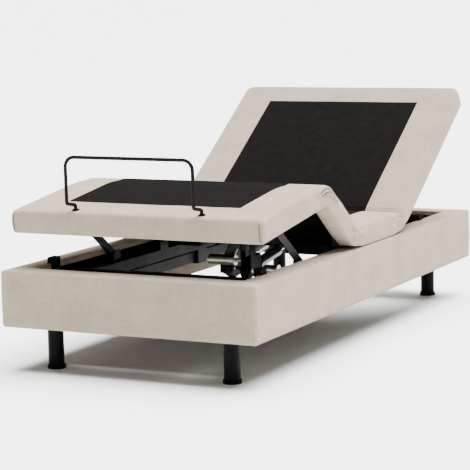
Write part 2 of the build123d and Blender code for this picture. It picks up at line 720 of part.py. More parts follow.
# ---- foot links ------------------------------------------------------------------------
def foot_links():
    """The two links that carry the foot panel, with their pins and brackets."""
    panel_pin = turned((-LINK_BACK, -KNEE_AXIS_RISE - LINK_DROP), FOOT_REST_ANGLE)
    panel_pin = (knee_y + panel_pin[0], knee_z + panel_pin[1])
    hole = LINK_PIN_RADIUS + RUNNING_FIT
    link_outer = link_x + LINK_THICKNESS
    for side, word in ((-1, "left"), (1, "right")):
        with BuildPart() as link:
            strap(BASE, link_pivot, panel_pin, LINK_WIDTH, side * link_x, side * link_outer)
            rod(BASE, link_pivot, hole, side * link_x, side * link_outer,
                mode=Mode.SUBTRACT)
            rod(BASE, panel_pin, LINK_PIN_RADIUS + LINK_SLACK, side * link_x,
                side * link_outer, mode=Mode.SUBTRACT)
        save(link, f"foot_link_{word}")

    y, z = link_pivot
    wrap = LINK_WIDTH / 2
    with BuildPart() as brackets:
        for side in (-1, 1):
            slab(BASE, [(y - 2 * wrap, side_tube_top), (y + 2 * wrap, side_tube_top),
                        (y + wrap, z + wrap), (y - wrap, z + wrap)],
                 side * (side_tube_outer - BRACKET_PLATE), side * side_tube_outer)
            rod(BASE, link_pivot, LINK_PIN_RADIUS, side * side_tube_outer,
                side * (link_outer + BRACKET_PLATE))
    save(brackets, "foot_link_brackets")

    flange_top = knee_cloth_top - CLOTH_THICKNESS
    flange_low = flange_top - BRACKET_PLATE
    u, v = -LINK_BACK, -KNEE_AXIS_RISE - LINK_DROP
    half = CROSS_BATTEN_WIDTH / 2
    inner = link_x - 2 * BRACKET_PLATE
    with BuildPart() as ears:
        for side in (-1, 1):
            block(FOOT, u - half, u + half, flange_low, flange_top, side * (inner - wrap),
                  side * (inner + BRACKET_PLATE))
            slab(FOOT, [(u - half, flange_low), (u + half, flange_low),
                        (u + wrap, v - wrap / 2), (u + wrap / 2, v - wrap),
                        (u - wrap / 2, v - wrap), (u - wrap, v - wrap / 2)],
                 side * inner, side * (inner + BRACKET_PLATE))
            rod(FOOT, (u, v), LINK_PIN_RADIUS, side * (inner + BRACKET_PLATE),
                side * (link_outer + BRACKET_PLATE))
    save(ears, "foot_link_ears")


# ---- retainer bar ----------------------------------------------------------------------
def retainer_bar():
    """The mattress retainer: one bent rod whose prongs drop into sockets in the foot panel."""
    half = BAR_SPAN / 2
    deck = knee_top
    prong = -FOOT_LENGTH + BAR_INSET
    out = prong - BAR_OUTSET
    jog = deck + BAR_JOG_RISE
    top = deck + BAR_HEIGHT
    foot_origin = Vector(0, knee_y, knee_z)

    def at(x, u, v):
        y, z = turned((u, v), FOOT_REST_ANGLE)
        return (x, foot_origin.Y + y, foot_origin.Z + z)

    with BuildPart() as bar:
        with BuildLine() as path:
            FilletPolyline(
                at(-half, prong, deck - BAR_DEPTH), at(-half, prong, jog - BAR_JOG_RISE / 2),
                at(-half, out, jog), at(-half, out + BAR_LEAN, top), at(half, out + BAR_LEAN, top),
                at(half, out, jog), at(half, prong, jog - BAR_JOG_RISE / 2),
                at(half, prong, deck - BAR_DEPTH),
                radius=[BAR_JOG_RADIUS, BAR_JOG_RADIUS, BAR_CORNER, BAR_CORNER,
                        BAR_JOG_RADIUS, BAR_JOG_RADIUS],
            )
        with BuildSketch(path.line ^ 0) as section:
            Circle(BAR_RADIUS)
        sweep(section.sketch, path=path.line)
    save(bar, "retainer_bar")

    depth = BAR_DEPTH + BAR_RADIUS
    top_plane = Plane(origin=FOOT.from_local_coords((prong, deck, 0)), x_dir=(1, 0, 0),
                      z_dir=FOOT.y_dir)
    with BuildPart() as sockets:
        with BuildSketch(top_plane.offset(-depth)) as tube:
            with Locations((-half, 0), (half, 0)):
                Circle(SOCKET_RADIUS)
                Circle(BAR_RADIUS + FIT, mode=Mode.SUBTRACT)
        extrude(tube.sketch, amount=depth)
        with BuildSketch(top_plane) as flange:
            with Locations((-half, 0), (half, 0)):
                Circle(SOCKET_FLANGE)
                Circle(BAR_RADIUS + FIT, mode=Mode.SUBTRACT)
        extrude(flange.sketch, amount=CLOTH_THICKNESS)
    save(sockets, "retainer_sockets")


def socket_holes():
    """Cut the retainer sockets' holes in the piece being made."""
    prong = -FOOT_LENGTH + BAR_INSET
    top_plane = Plane(origin=FOOT.from_local_coords((prong, knee_top, 0)), x_dir=(1, 0, 0),
                      z_dir=FOOT.y_dir)
    with BuildSketch(top_plane.offset(-DECK_THICKNESS)) as holes:
        with Locations((-BAR_SPAN / 2, 0), (BAR_SPAN / 2, 0)):
            Circle(SOCKET_RADIUS)
    extrude(holes.sketch, amount=2 * DECK_THICKNESS, mode=Mode.SUBTRACT)


# ---- control gear ----------------------------------------------------------------------
def control_gear():
    """The control box and the power supply, screwed up under the seat."""
    for name, size, side, gap, y in (("control_box", BOX_SIZE, 1, BOX_GAP, BOX_Y),
                                     ("power_supply", SUPPLY_SIZE, -1, SUPPLY_GAP, SUPPLY_Y)):
        width, depth, height = size
        centre = (side * (side_tube_x - gap - width / 2), y)
        with BuildPart() as case:
            with BuildSketch(Plane.XY.offset(seat_rest_z - height)):
                with Locations(centre):
                    RectangleRounded(width, depth, BOX_ROUND)
            extrude(amount=height)
            chamfer(case.faces().sort_by(Axis.Z)[0].edges(), BOX_ROUND / 3)
        save(case, name)


def main():
    os.makedirs("parts", exist_ok=True)
    rails()
    rail_lining()
    track_frame()
    legs()
    rest_bumpers()
    carriage()
    drive_brackets()
    control_gear()
    seat_panel()
    head_panel()
    thigh_panel()
    foot_panel()
    hinges()
    lever("thigh_lever", THIGH, LEG_LEVER, LEG_LEVER_TIP, LEG_LEVER_FOOT, LEG_DRIVE_X,
          leg_lever_hole)
    lever("head_lever", HEAD, HEAD_LEVER, HEAD_LEVER_TIP, HEAD_LEVER_FOOT, HEAD_DRIVE_X,
          head_lever_slot)
    across_pin("leg_drive_rear_pin", THIGH, LEG_LEVER, LEG_DRIVE_X,
               LEVER_GAP / 2 + EAR_THICKNESS)
    leg_start = turned(LEG_LEVER, -THIGH_REST_ANGLE)
    leg_start = (SEAT_FOOT_EDGE + leg_start[0], axis_z + leg_start[1])
    head_end = turned(HEAD_LEVER, HEAD_REST_ANGLE)
    head_end = (head_edge + head_end[0], axis_z + head_end[1])
    drive("leg_drive", leg_start, leg_clevis, LEG_DRIVE_X, LEG_STROKE_BACK, 1, -1)
    drive("head_drive", head_clevis, head_end, HEAD_DRIVE_X, HEAD_STROKE_BACK, -1, 1)
    foot_links()
    retainer_bar()


main()
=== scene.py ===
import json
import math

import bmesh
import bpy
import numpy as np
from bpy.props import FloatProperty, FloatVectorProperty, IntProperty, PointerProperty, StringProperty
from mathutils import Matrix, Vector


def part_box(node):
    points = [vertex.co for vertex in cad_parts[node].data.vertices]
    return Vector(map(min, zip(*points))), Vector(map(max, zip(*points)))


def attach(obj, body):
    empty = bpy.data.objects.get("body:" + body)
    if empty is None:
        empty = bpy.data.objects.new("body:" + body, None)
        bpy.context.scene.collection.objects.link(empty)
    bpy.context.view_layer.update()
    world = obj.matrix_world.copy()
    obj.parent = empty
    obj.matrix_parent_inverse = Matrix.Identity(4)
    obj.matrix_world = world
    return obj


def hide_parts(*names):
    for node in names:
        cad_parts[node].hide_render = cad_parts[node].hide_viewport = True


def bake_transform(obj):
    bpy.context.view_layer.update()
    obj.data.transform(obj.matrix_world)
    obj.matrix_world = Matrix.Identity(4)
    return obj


bl_info = {
    "name": "Adjustable bed base",
    "version": (1, 0, 0),
    "blender": (4, 5, 0),
    "location": "3D View > Sidebar > Bed base",
    "description": "Upholstery, grip cloth and finishes for an adjustable bed base",
    "category": "Object",
}

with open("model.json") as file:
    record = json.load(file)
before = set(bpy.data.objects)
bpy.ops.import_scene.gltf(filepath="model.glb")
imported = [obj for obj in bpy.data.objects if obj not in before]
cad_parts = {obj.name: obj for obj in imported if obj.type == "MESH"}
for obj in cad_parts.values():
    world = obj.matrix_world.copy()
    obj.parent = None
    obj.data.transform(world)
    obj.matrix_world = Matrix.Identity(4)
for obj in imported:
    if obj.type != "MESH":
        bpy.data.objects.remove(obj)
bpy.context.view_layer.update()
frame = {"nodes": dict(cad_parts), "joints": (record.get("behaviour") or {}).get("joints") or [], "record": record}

MM = 0.001
JOINTS = {joint["name"]: joint for joint in frame["joints"]}


# ---- the deck's flat shape and its folds, from the frame -------------------------------
def in_plane(point):
    """A point's (y, z), the plane that the deck folds in."""
    return np.array([point[1], point[2]], float)


def turn(points, pivot, angle):
    """Points turned about a pivot in the (y, z) plane. The angle may differ from point to point."""
    offset = points - pivot
    c, s = np.cos(angle), np.sin(angle)
    return pivot + np.stack(
        [offset[..., 0] * c - offset[..., 1] * s, offset[..., 0] * s + offset[..., 1] * c], axis=-1
    )


def flat_reach(node, pivot, angle):
    """Lowest and highest (y, z) of a CAD node once its panel is laid flat about a pivot."""
    points = np.array([in_plane(v.co) for v in frame["nodes"][node].data.vertices])
    flat = turn(points, pivot, angle)
    return flat.min(axis=0), flat.max(axis=0)


def coupling_ratio(joint):
    """How far a coupled joint turns for each unit of the joint that it follows."""
    rows = frame["record"]["behaviour"]["couplings"]
    return next(row["ratio"] for row in rows if row["joint"] == joint)


HEAD_ANGLE = -math.radians(JOINTS["head_tilt"]["range_deg"][0])
THIGH_ANGLE = -math.radians(JOINTS["thigh_lift"]["range_deg"][0])
KNEE_ANGLE = THIGH_ANGLE * coupling_ratio("knee_fold")
HEAD_PIVOT = in_plane(JOINTS["head_tilt"]["pos_m"])
THIGH_PIVOT = in_plane(JOINTS["thigh_lift"]["pos_m"])
KNEE_PIVOT = turn(in_plane(JOINTS["knee_fold"]["pos_m"]), THIGH_PIVOT, THIGH_ANGLE)
SEAT_LOW, SEAT_HIGH = (Vector(corner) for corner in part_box("seat_pad"))
DECK_BOTTOM, DECK_TOP = SEAT_LOW.z, SEAT_HIGH.z
DECK_HALF_WIDTH = SEAT_HIGH.x
HEAD_END = flat_reach("head_pad", HEAD_PIVOT, -HEAD_ANGLE)[1][0]
FOOT_FLAT_ANGLE = KNEE_ANGLE - THIGH_ANGLE
KNEE_REST = in_plane(JOINTS["knee_fold"]["pos_m"])
FOOT_END = KNEE_PIVOT[0] + flat_reach("foot_pad", KNEE_REST, -FOOT_FLAT_ANGLE)[0][0] - KNEE_REST[0]
DUST_CLOTH_Z = flat_reach("head_dust_cloth", HEAD_PIVOT, -HEAD_ANGLE)[1][1]
SKIRT_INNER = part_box("head_frame")[1][0] + 0.5 * MM
RAIL_LOW = Vector(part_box("foot_rail_cover")[0])
RAIL_HIGH = Vector(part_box("head_rail_cover")[1])
RAIL_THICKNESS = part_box("right_rail_cover")[1][0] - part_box("right_rail_cover")[0][0]
GRIP_HALF_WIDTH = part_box("seat_grip")[1][0]
HEAD_GRIP_END = flat_reach("head_grip", HEAD_PIVOT, -HEAD_ANGLE)[1][0]
FOOT_GRIP_END = KNEE_PIVOT[0] + flat_reach("foot_grip", KNEE_REST, -FOOT_FLAT_ANGLE)[0][0] - KNEE_REST[0]
RETAINER_FLANGE = 13 * MM  # from a socket's outer side to its bar
SEAT_MIDDLE = (HEAD_PIVOT[0] + THIGH_PIVOT[0]) / 2
THIGH_MIDDLE = (THIGH_PIVOT[0] + KNEE_PIVOT[0]) / 2


# ---- settings --------------------------------------------------------------------------
class CoverSizes(bpy.types.PropertyGroup):
    """Sizes of the upholstery."""

    edge_round: FloatProperty(name="Edge round", default=16 * MM, unit="LENGTH",
                              description="Round of the foam along the deck's top edges")
    hem_round: FloatProperty(name="Hem round", default=7 * MM, unit="LENGTH",
                             description="Round of the deck skirt's lower edge")
    head_corner: FloatProperty(name="Head corner", default=20 * MM, unit="LENGTH",
                               description="Plan round of the head corners inside the edge round")
    foot_corner: FloatProperty(name="Foot corner", default=6 * MM, unit="LENGTH",
                               description="Plan round of the foot corners inside the edge round")
    puff: FloatProperty(name="Puff", default=3.5 * MM, unit="LENGTH",
                        description="How far the padding swells past the deck's nominal outline")
    crest_dip: FloatProperty(name="Crest dip", default=10 * MM, unit="LENGTH",
                             description="How much the cover gives over the folds' outer sides")
    side_bulge: FloatProperty(name="Side bulge", default=3 * MM, unit="LENGTH",
                              description="How far the skirts swell between their edges")
    fold_reach: FloatProperty(name="Fold reach", default=46 * MM, unit="LENGTH",
                              description="How far from a hinge the cover starts to bend")
    rail_round: FloatProperty(name="Rail round", default=9 * MM, unit="LENGTH",
                              description="Round of the rails' outer top and corner edges")
    rail_inner_round: FloatProperty(name="Rail inner round", default=4 * MM, unit="LENGTH",
                                    description="Round of the rails' inner top edge")
    cloth_step: FloatProperty(name="Cloth step", default=14 * MM, unit="LENGTH",
                              description="Mesh spacing of the covers")
    seed: IntProperty(name="Seed", default=7, description="Seed of the cloth's unevenness")


class Colours(bpy.types.PropertyGroup):
    """Colours of the finishes, as sRGB hex values."""

    linen: StringProperty(name="Linen cloth", default="#9E8E7B", description="Woven cover")
    felt: StringProperty(name="Felt", default="#0B0908", description="Non-woven grip and dust cloth")
    powder: StringProperty(name="Powder coat", default="#070707", description="Black steel parts")
    zinc: StringProperty(name="Zinc", default="#B4B6B8", description="Hinges and pins")
    nylon: StringProperty(name="Nylon", default="#070707", description="Moulded black plastic")
    can: StringProperty(name="Motor can", default="#D6D4C4", description="Drawn steel motor cans")
    aluminium: StringProperty(name="Aluminium", default="#A6A8A9", description="Drive barrels")
    rubber: StringProperty(name="Rubber", default="#0F0F10", description="Rest bumpers")
    # The frames are near-black, matched to the dark underside of the deck.
    plywood: StringProperty(name="Plywood", default="#1E1814", description="Black-stained panel frames")
    # The thread colour is dark against the cloth: the cord along each seam paints the shadow in the seam's groove.
    thread: StringProperty(name="Thread", default="#4E463E", description="Seam thread")
    floor: StringProperty(name="Floor", default="#FBFBFA", description="Studio floor")


class StageSettings(bpy.types.PropertyGroup):
    """Camera and light."""

    azimuth: FloatProperty(name="Azimuth", default=math.radians(26.757), subtype="ANGLE",
                           description="Camera's direction round the bed, from its foot")
    elevation: FloatProperty(name="Elevation", default=math.radians(7.860), subtype="ANGLE",
                             description="Camera's height above the horizon")
    roll: FloatProperty(name="Roll", default=math.radians(-1.244), subtype="ANGLE",
                        description="Camera's roll")
    distance: FloatProperty(name="Distance", default=6.9599, unit="LENGTH",
                            description="From the camera to the point that it looks at")
    target: FloatVectorProperty(name="Target", default=(-0.0949, 0.0, 0.3509), subtype="XYZ",
                                description="Point in the middle of the view")
    lens: FloatProperty(name="Lens", default=140.77, description="Focal length in mm")
    world_light: FloatProperty(name="Surround", default=0.3, description="Strength of the surround")
    sky_light: FloatProperty(name="Overhead", default=17.0, description="Strength of the wide overhead light")
    sky_spread: FloatProperty(name="Overhead spread", default=math.radians(60), subtype="ANGLE",
                              description="How wide the overhead light is")
    side_power: FloatProperty(name="Side", default=14.0, description="Watts of the side softbox")


# ---- materials -------------------------------------------------------------------------
def linear(colour):
    """An sRGB hex value as linear RGBA."""
    parts = (int(colour[i:i + 2], 16) / 255 for i in (1, 3, 5))
    return (*(c / 12.92 if c <= 0.04045 else ((c + 0.055) / 1.055) ** 2.4 for c in parts), 1.0)


def add_node(tree, kind, inputs=None, **settings):
    """A new node with its settings, and its inputs linked or set."""
    made = tree.nodes.new(kind)
    for name, value in settings.items():
        setattr(made, name, value)
    for name, value in (inputs or {}).items():
        if isinstance(value, bpy.types.NodeSocket):
            tree.links.new(value, made.inputs[name])
        else:
            made.inputs[name].default_value = value
    return made


def new_material(name):
    """An empty node material and its tree."""
    material = bpy.data.materials.new(name)
    material.use_nodes = True
    material.node_tree.nodes.clear()
    return material, material.node_tree


def finish_material(tree, inputs, height=None, depth=0.0):
    """The surface shader and the output, with a bump of a real depth in metres."""
    if height is not None:
        bump = add_node(tree, "ShaderNodeBump", {"Height": height, "Distance": depth})
        inputs["Normal"] = bump.outputs["Normal"]
    shader = add_node(tree, "ShaderNodeBsdfPrincipled", inputs)
    add_node(tree, "ShaderNodeOutputMaterial", {"Surface": shader.outputs["BSDF"]})


def shaded(colour, share):
    """A linear colour made darker or lighter by a share."""
    return (*(min(1.0, c * share) for c in colour[:3]), 1.0)


def linen_cloth(colour):
    """Plain-woven polyester that looks like linen: matt, with uneven slubbed threads both ways."""
    material, tree = new_material("linen_look_polyester")
    where = add_node(tree, "ShaderNodeTexCoord").outputs["UV"]
    # Threads are about 1 mm apart on the cloth, and drawn 2.4 mm apart so that they show.
    pitch = 2.4 * MM
    band = 2 * math.pi / 20 / pitch
    threads = [
        add_node(tree, "ShaderNodeTexWave",
                 {"Vector": where, "Scale": band, "Distortion": 1.2, "Detail": 1.0, "Detail Scale": 0.3},
                 bands_direction=way).outputs["Fac"]
        for way in ("X", "Y")
    ]
    weave = add_node(tree, "ShaderNodeMath", {0: threads[0], 1: threads[1]}, operation="ADD")
    # A slub is a thicker stretch of thread, some 4 mm wide here and 60 mm long.
    slubs = []
    for stretch in ((16.0, 260.0, 1.0), (260.0, 16.0, 1.0)):
        place = add_node(tree, "ShaderNodeMapping", {"Vector": where, "Scale": stretch})
        slubs.append(add_node(tree, "ShaderNodeTexNoise",
                              {"Vector": place.outputs["Vector"], "Scale": 1.0, "Detail": 3.0,
                               "Roughness": 0.6}).outputs["Fac"])
    slub = add_node(tree, "ShaderNodeMath", {0: slubs[0], 1: slubs[1]}, operation="ADD")
    cloud = add_node(tree, "ShaderNodeTexNoise", {"Vector": where, "Scale": 9.0, "Detail": 2.0})
    tone = add_node(tree, "ShaderNodeMath", {0: slub.outputs[0], 1: cloud.outputs["Fac"]}, operation="ADD")
    shade = add_node(tree, "ShaderNodeMapRange",
                     {"Value": tone.outputs[0], "From Min": 1.1, "From Max": 1.9})
    mix = add_node(tree, "ShaderNodeMix",
                   {"Factor": shade.outputs[0], "A": shaded(colour, 0.80), "B": shaded(colour, 1.14)},
                   data_type="RGBA")
    fine = add_node(tree, "ShaderNodeMapRange",
                    {"Value": weave.outputs[0], "From Max": 2.0, "To Min": 0.86, "To Max": 1.07})
    woven = add_node(tree, "ShaderNodeMix",
                     {"Factor": 1.0, "A": mix.outputs["Result"], "B": fine.outputs[0]},
                     data_type="RGBA", blend_type="MULTIPLY")
    relief = add_node(tree, "ShaderNodeMath", {0: weave.outputs[0], 1: slub.outputs[0]}, operation="ADD")
    finish_material(tree, {"Base Color": woven.outputs["Result"], "Roughness": 0.92,
                           "Sheen Weight": 0.12, "Sheen Roughness": 0.6, "Specular IOR Level": 0.2},
                    relief.outputs[0], 0.35 * MM)
    return material


def felt_cloth(name, colour, coordinates):
    """Spun-bonded non-woven: matt black fibre with soft blotches and a fine speckle."""
    material, tree = new_material(name)
    where = add_node(tree, "ShaderNodeTexCoord").outputs[coordinates]
    blotch = add_node(tree, "ShaderNodeTexNoise",
                      {"Vector": where, "Scale": 28.0, "Detail": 5.0, "Roughness": 0.65})
    fibre = add_node(tree, "ShaderNodeTexNoise", {"Vector": where, "Scale": 420.0, "Detail": 2.0})
    tone = add_node(tree, "ShaderNodeMath",
                    {0: blotch.outputs["Fac"], 1: fibre.outputs["Fac"]}, operation="ADD")
    shade = add_node(tree, "ShaderNodeMapRange",
                     {"Value": tone.outputs[0], "From Min": 0.75, "From Max": 1.3})
    mix = add_node(tree, "ShaderNodeMix",
                   {"Factor": shade.outputs[0], "A": shaded(colour, 0.68), "B": shaded(colour, 1.6)},
                   data_type="RGBA")
    # The bond points are a real 1.6 mm grid.
    bonds = add_node(tree, "ShaderNodeTexVoronoi", {"Vector": where, "Scale": 1 / (1.6 * MM)})
    relief = add_node(tree, "ShaderNodeMath",
                      {0: bonds.outputs["Distance"], 1: fibre.outputs["Fac"]}, operation="ADD")
    finish_material(tree, {"Base Color": mix.outputs["Result"], "Roughness": 0.95,
                           "Specular IOR Level": 0.04},
                    relief.outputs[0], 0.25 * MM)
    return material


def powder_coat(colour):
    """Satin powder coat on steel: a slight orange peel, with dust-matt patches."""
    material, tree = new_material("powder_coated_steel")
    where = add_node(tree, "ShaderNodeTexCoord").outputs["Object"]
    peel = add_node(tree, "ShaderNodeTexNoise", {"Vector": where, "Scale": 1 / (2.5 * MM), "Detail": 1.0})
    dust = add_node(tree, "ShaderNodeTexNoise", {"Vector": where, "Scale": 14.0, "Detail": 4.0})
    rough = add_node(tree, "ShaderNodeMapRange",
                     {"Value": dust.outputs["Fac"], "To Min": 0.34, "To Max": 0.52})
    mix = add_node(tree, "ShaderNodeMix",
                   {"Factor": dust.outputs["Fac"], "A": colour, "B": shaded(colour, 1.9)},
                   data_type="RGBA")
    finish_material(tree, {"Base Color": mix.outputs["Result"], "Roughness": rough.outputs[0],
                           "Specular IOR Level": 0.07}, peel.outputs["Fac"], 0.05 * MM)
    return material


def bare_metal(name, colour, roughness, grain_mm):
    """Bare metal drawn or brushed along its length: fine streaks across, with dull patches."""
    material, tree = new_material(name)
    where = add_node(tree, "ShaderNodeTexCoord").outputs["Object"]
    along = add_node(tree, "ShaderNodeMapping",
                     {"Vector": where, "Scale": (0.04, 1.0, 1.0)})
    grain = add_node(tree, "ShaderNodeTexNoise",
                     {"Vector": along.outputs["Vector"], "Scale": 1 / (grain_mm * MM), "Detail": 3.0})
    patch = add_node(tree, "ShaderNodeTexNoise", {"Vector": where, "Scale": 22.0, "Detail": 4.0})
    tone = add_node(tree, "ShaderNodeMath",
                    {0: grain.outputs["Fac"], 1: patch.outputs["Fac"]}, operation="ADD")
    rough = add_node(tree, "ShaderNodeMapRange",
                     {"Value": tone.outputs[0], "From Max": 2.0, "To Min": roughness - 0.1,
                      "To Max": roughness + 0.14})
    mix = add_node(tree, "ShaderNodeMix",
                   {"Factor": patch.outputs["Fac"], "A": shaded(colour, 0.82), "B": shaded(colour, 1.1)},
                   data_type="RGBA")
    finish_material(tree, {"Base Color": mix.outputs["Result"], "Metallic": 1.0,
                           "Roughness": rough.outputs[0]}, grain.outputs["Fac"], 0.02 * MM)
    return material


def moulded(name, colour, roughness, texture_mm):
    """Spark-textured moulded plastic or rubber, with faint flow marks."""
    material, tree = new_material(name)
    where = add_node(tree, "ShaderNodeTexCoord").outputs["Object"]
    spark = add_node(tree, "ShaderNodeTexNoise",
                     {"Vector": where, "Scale": 1 / (texture_mm * MM), "Detail": 2.0})
    flow = add_node(tree, "ShaderNodeTexNoise", {"Vector": where, "Scale": 11.0, "Detail": 3.0})
    rough = add_node(tree, "ShaderNodeMapRange",
                     {"Value": flow.outputs["Fac"], "To Min": roughness - 0.08, "To Max": roughness + 0.1})
    mix = add_node(tree, "ShaderNodeMix",
                   {"Factor": flow.outputs["Fac"], "A": shaded(colour, 0.8), "B": shaded(colour, 1.5)},
                   data_type="RGBA")
    finish_material(tree, {"Base Color": mix.outputs["Result"], "Roughness": rough.outputs[0],
                           "Specular IOR Level": 0.05}, spark.outputs["Fac"], 0.08 * MM)
    return material


def plywood(colour):
    """Near-black rotary-cut plywood: long grain that shows through the dark colour."""
    material, tree = new_material("stained_plywood")
    where = add_node(tree, "ShaderNodeTexCoord").outputs["Object"]
    along = add_node(tree, "ShaderNodeMapping", {"Vector": where, "Scale": (2.0, 45.0, 45.0)})
    grain = add_node(tree, "ShaderNodeTexNoise",
                     {"Vector": along.outputs["Vector"], "Scale": 1.0, "Detail": 6.0, "Distortion": 0.6})
    fibre = add_node(tree, "ShaderNodeTexNoise",
                     {"Vector": along.outputs["Vector"], "Scale": 9.0, "Detail": 3.0})
    tone = add_node(tree, "ShaderNodeMath",
                    {0: grain.outputs["Fac"], 1: fibre.outputs["Fac"]}, operation="ADD")
    shade = add_node(tree, "ShaderNodeMapRange",
                     {"Value": tone.outputs[0], "From Min": 0.7, "From Max": 1.3})
    mix = add_node(tree, "ShaderNodeMix",
                   {"Factor": shade.outputs[0], "A": shaded(colour, 0.62), "B": shaded(colour, 1.12)},
                   data_type="RGBA")
    finish_material(tree, {"Base Color": mix.outputs["Result"], "Roughness": 0.72, "IOR": 1.5},
                    tone.outputs[0], 0.15 * MM)
    return material


def sewing_thread(colour):
    """Twisted polyester thread, dark against the cloth: matt, with fine bands along its twist. Along each seam its
    darkness is painted shade for the seam's groove.
    """
    material, tree = new_material("sewing_thread")
    where = add_node(tree, "ShaderNodeTexCoord").outputs["Object"]
    twist = add_node(tree, "ShaderNodeTexWave",
                     {"Vector": where, "Scale": 2 * math.pi / 20 / (0.6 * MM), "Distortion": 1.0},
                     bands_direction="DIAGONAL")
    mix = add_node(tree, "ShaderNodeMix",
                   {"Factor": twist.outputs["Fac"], "A": shaded(colour, 0.7), "B": shaded(colour, 1.2)},
                   data_type="RGBA")
    finish_material(tree, {"Base Color": mix.outputs["Result"], "Roughness": 0.8},
                    twist.outputs["Fac"], 0.1 * MM)
    return material


def floor_paint(colour):
    """Matt painted studio floor with faint roller marks."""
    material, tree = new_material("matt_floor_paint")
    where = add_node(tree, "ShaderNodeTexCoord").outputs["Object"]
    cloud = add_node(tree, "ShaderNodeTexNoise", {"Vector": where, "Scale": 2.0, "Detail": 2.0})
    mix = add_node(tree, "ShaderNodeMix",
                   {"Factor": cloud.outputs["Fac"], "A": shaded(colour, 0.98), "B": shaded(colour, 1.0)},
                   data_type="RGBA")
    finish_material(tree, {"Base Color": mix.outputs["Result"], "Roughness": 0.85})
    return material


def material_for(name):
    """A finish by its name, made once."""
    found = bpy.data.materials.get(name)
    if found:
        return found
    colours = bpy.context.scene.bed_colours
    makers = {
        "linen_look_polyester": lambda: linen_cloth(linear(colours.linen)),
        "grip_felt": lambda: felt_cloth("grip_felt", linear(colours.felt), "UV"),
        # The dust cloths and rail lining use the grip's black felt at a third of its colour: this extra darkness
        # is painted shade for the deep shade inside the base.
        "dust_felt": lambda: felt_cloth("dust_felt", shaded(linear(colours.felt), 0.35), "Object"),
        "powder_coated_steel": lambda: powder_coat(linear(colours.powder)),
        "zinc_plated_steel": lambda: bare_metal("zinc_plated_steel", linear(colours.zinc), 0.36, 0.8),
        "moulded_nylon": lambda: moulded("moulded_nylon", linear(colours.nylon), 0.46, 0.7),
        "drawn_steel": lambda: bare_metal("drawn_steel", linear(colours.can), 0.3, 0.5),
        "extruded_aluminium": lambda: bare_metal("extruded_aluminium", linear(colours.aluminium), 0.34, 0.6),
        "moulded_rubber": lambda: moulded("moulded_rubber", linear(colours.rubber), 0.75, 1.0),
        "stained_plywood": lambda: plywood(linear(colours.plywood)),
        "sewing_thread": lambda: sewing_thread(linear(colours.thread)),
        "matt_floor_paint": lambda: floor_paint(linear(colours.floor)),
    }
    return makers[name]()


# ---- mesh helpers ----------------------------------------------------------------------
def cloth_object(name, points, faces, uvs, material):
    """A smooth cloth piece from points, faces and one UV per point, in metres of cloth."""
    mesh = bpy.data.meshes.new(name)
    mesh.from_pydata([tuple(p) for p in points], [], [tuple(f) for f in faces])
    layer = mesh.uv_layers.new(name="UVMap")
    for loop in mesh.loops:
        layer.data[loop.index].uv = uvs[loop.vertex_index]
    work = bmesh.new()
    work.from_mesh(mesh)
    bmesh.ops.remove_doubles(work, verts=work.verts, dist=0.02 * MM)
    bmesh.ops.dissolve_degenerate(work, edges=work.edges, dist=0.01 * MM)
    bmesh.ops.recalc_face_normals(work, faces=work.faces)
    work.to_mesh(mesh)
    work.free()
    mesh.polygons.foreach_set("use_smooth", [True] * len(mesh.polygons))
    mesh.materials.append(material)
    made = bpy.data.objects.new(name, mesh)
    bpy.context.scene.collection.objects.link(made)
    return made


def grid_faces(rows, columns):
    """Faces of a grid of points held row by row."""
    return [(r * columns + c, r * columns + c + 1, (r + 1) * columns + c + 1, (r + 1) * columns + c)
            for r in range(rows - 1) for c in range(columns - 1)]


def ring_faces(tiers, count, closed):
    """Faces between rings of points held ring by ring; closed joins the last ring to the first."""
    return [(t * count + i, t * count + (i + 1) % count, (t + 1) % tiers * count + (i + 1) % count,
             (t + 1) % tiers * count + i)
            for t in range(tiers if closed else tiers - 1) for i in range(count)]


def spaced(start, end, step):
    """Even places from start to end, no further apart than about a step."""
    return np.linspace(start, end, max(2, int(round(abs(end - start) / step)) + 1))


def soft_noise(points, size, seed):
    """Smooth seeded unevenness between -1 and 1, whose waves are about a size across."""
    draw = np.random.RandomState(seed)
    total = np.zeros(len(points))
    for _ in range(9):
        way = draw.normal(size=points.shape[1])
        way *= draw.uniform(0.6, 1.6) * 2 * math.pi / size / np.linalg.norm(way)
        total += np.sin(points @ way + draw.uniform(0, 2 * math.pi))
    return total / 4.5


# ---- the deck's cover ------------------------------------------------------------------
FOLD_PASSES = 80


def fold_ends(pivot, angle, way, reach):
    """Where a fold starts, on the side that stays, and ends, on the side that turns."""
    start = pivot - np.array([way * reach, 0.0])
    end = turn(pivot + np.array([way * reach, 0.0]), pivot, angle)
    return start, end


def fold(points, pivot, angle, way, reach):
    """Flat (y, z) points bent about a pivot as a blend between two bodies bends them."""
    start, end = fold_ends(pivot, angle, way, reach)
    run = end - start
    moved, weight = points, np.zeros(len(points))
    # Each pass feeds the bent place back in, as the blend is weighed by the rest pose.
    for _ in range(FOLD_PASSES):
        share = np.clip((moved - start) @ run / (run @ run), 0, 1)
        weight = 0.5 * weight + 0.5 * share * share * (3 - 2 * share)
        moved = turn(points, pivot, weight * angle)
    return moved


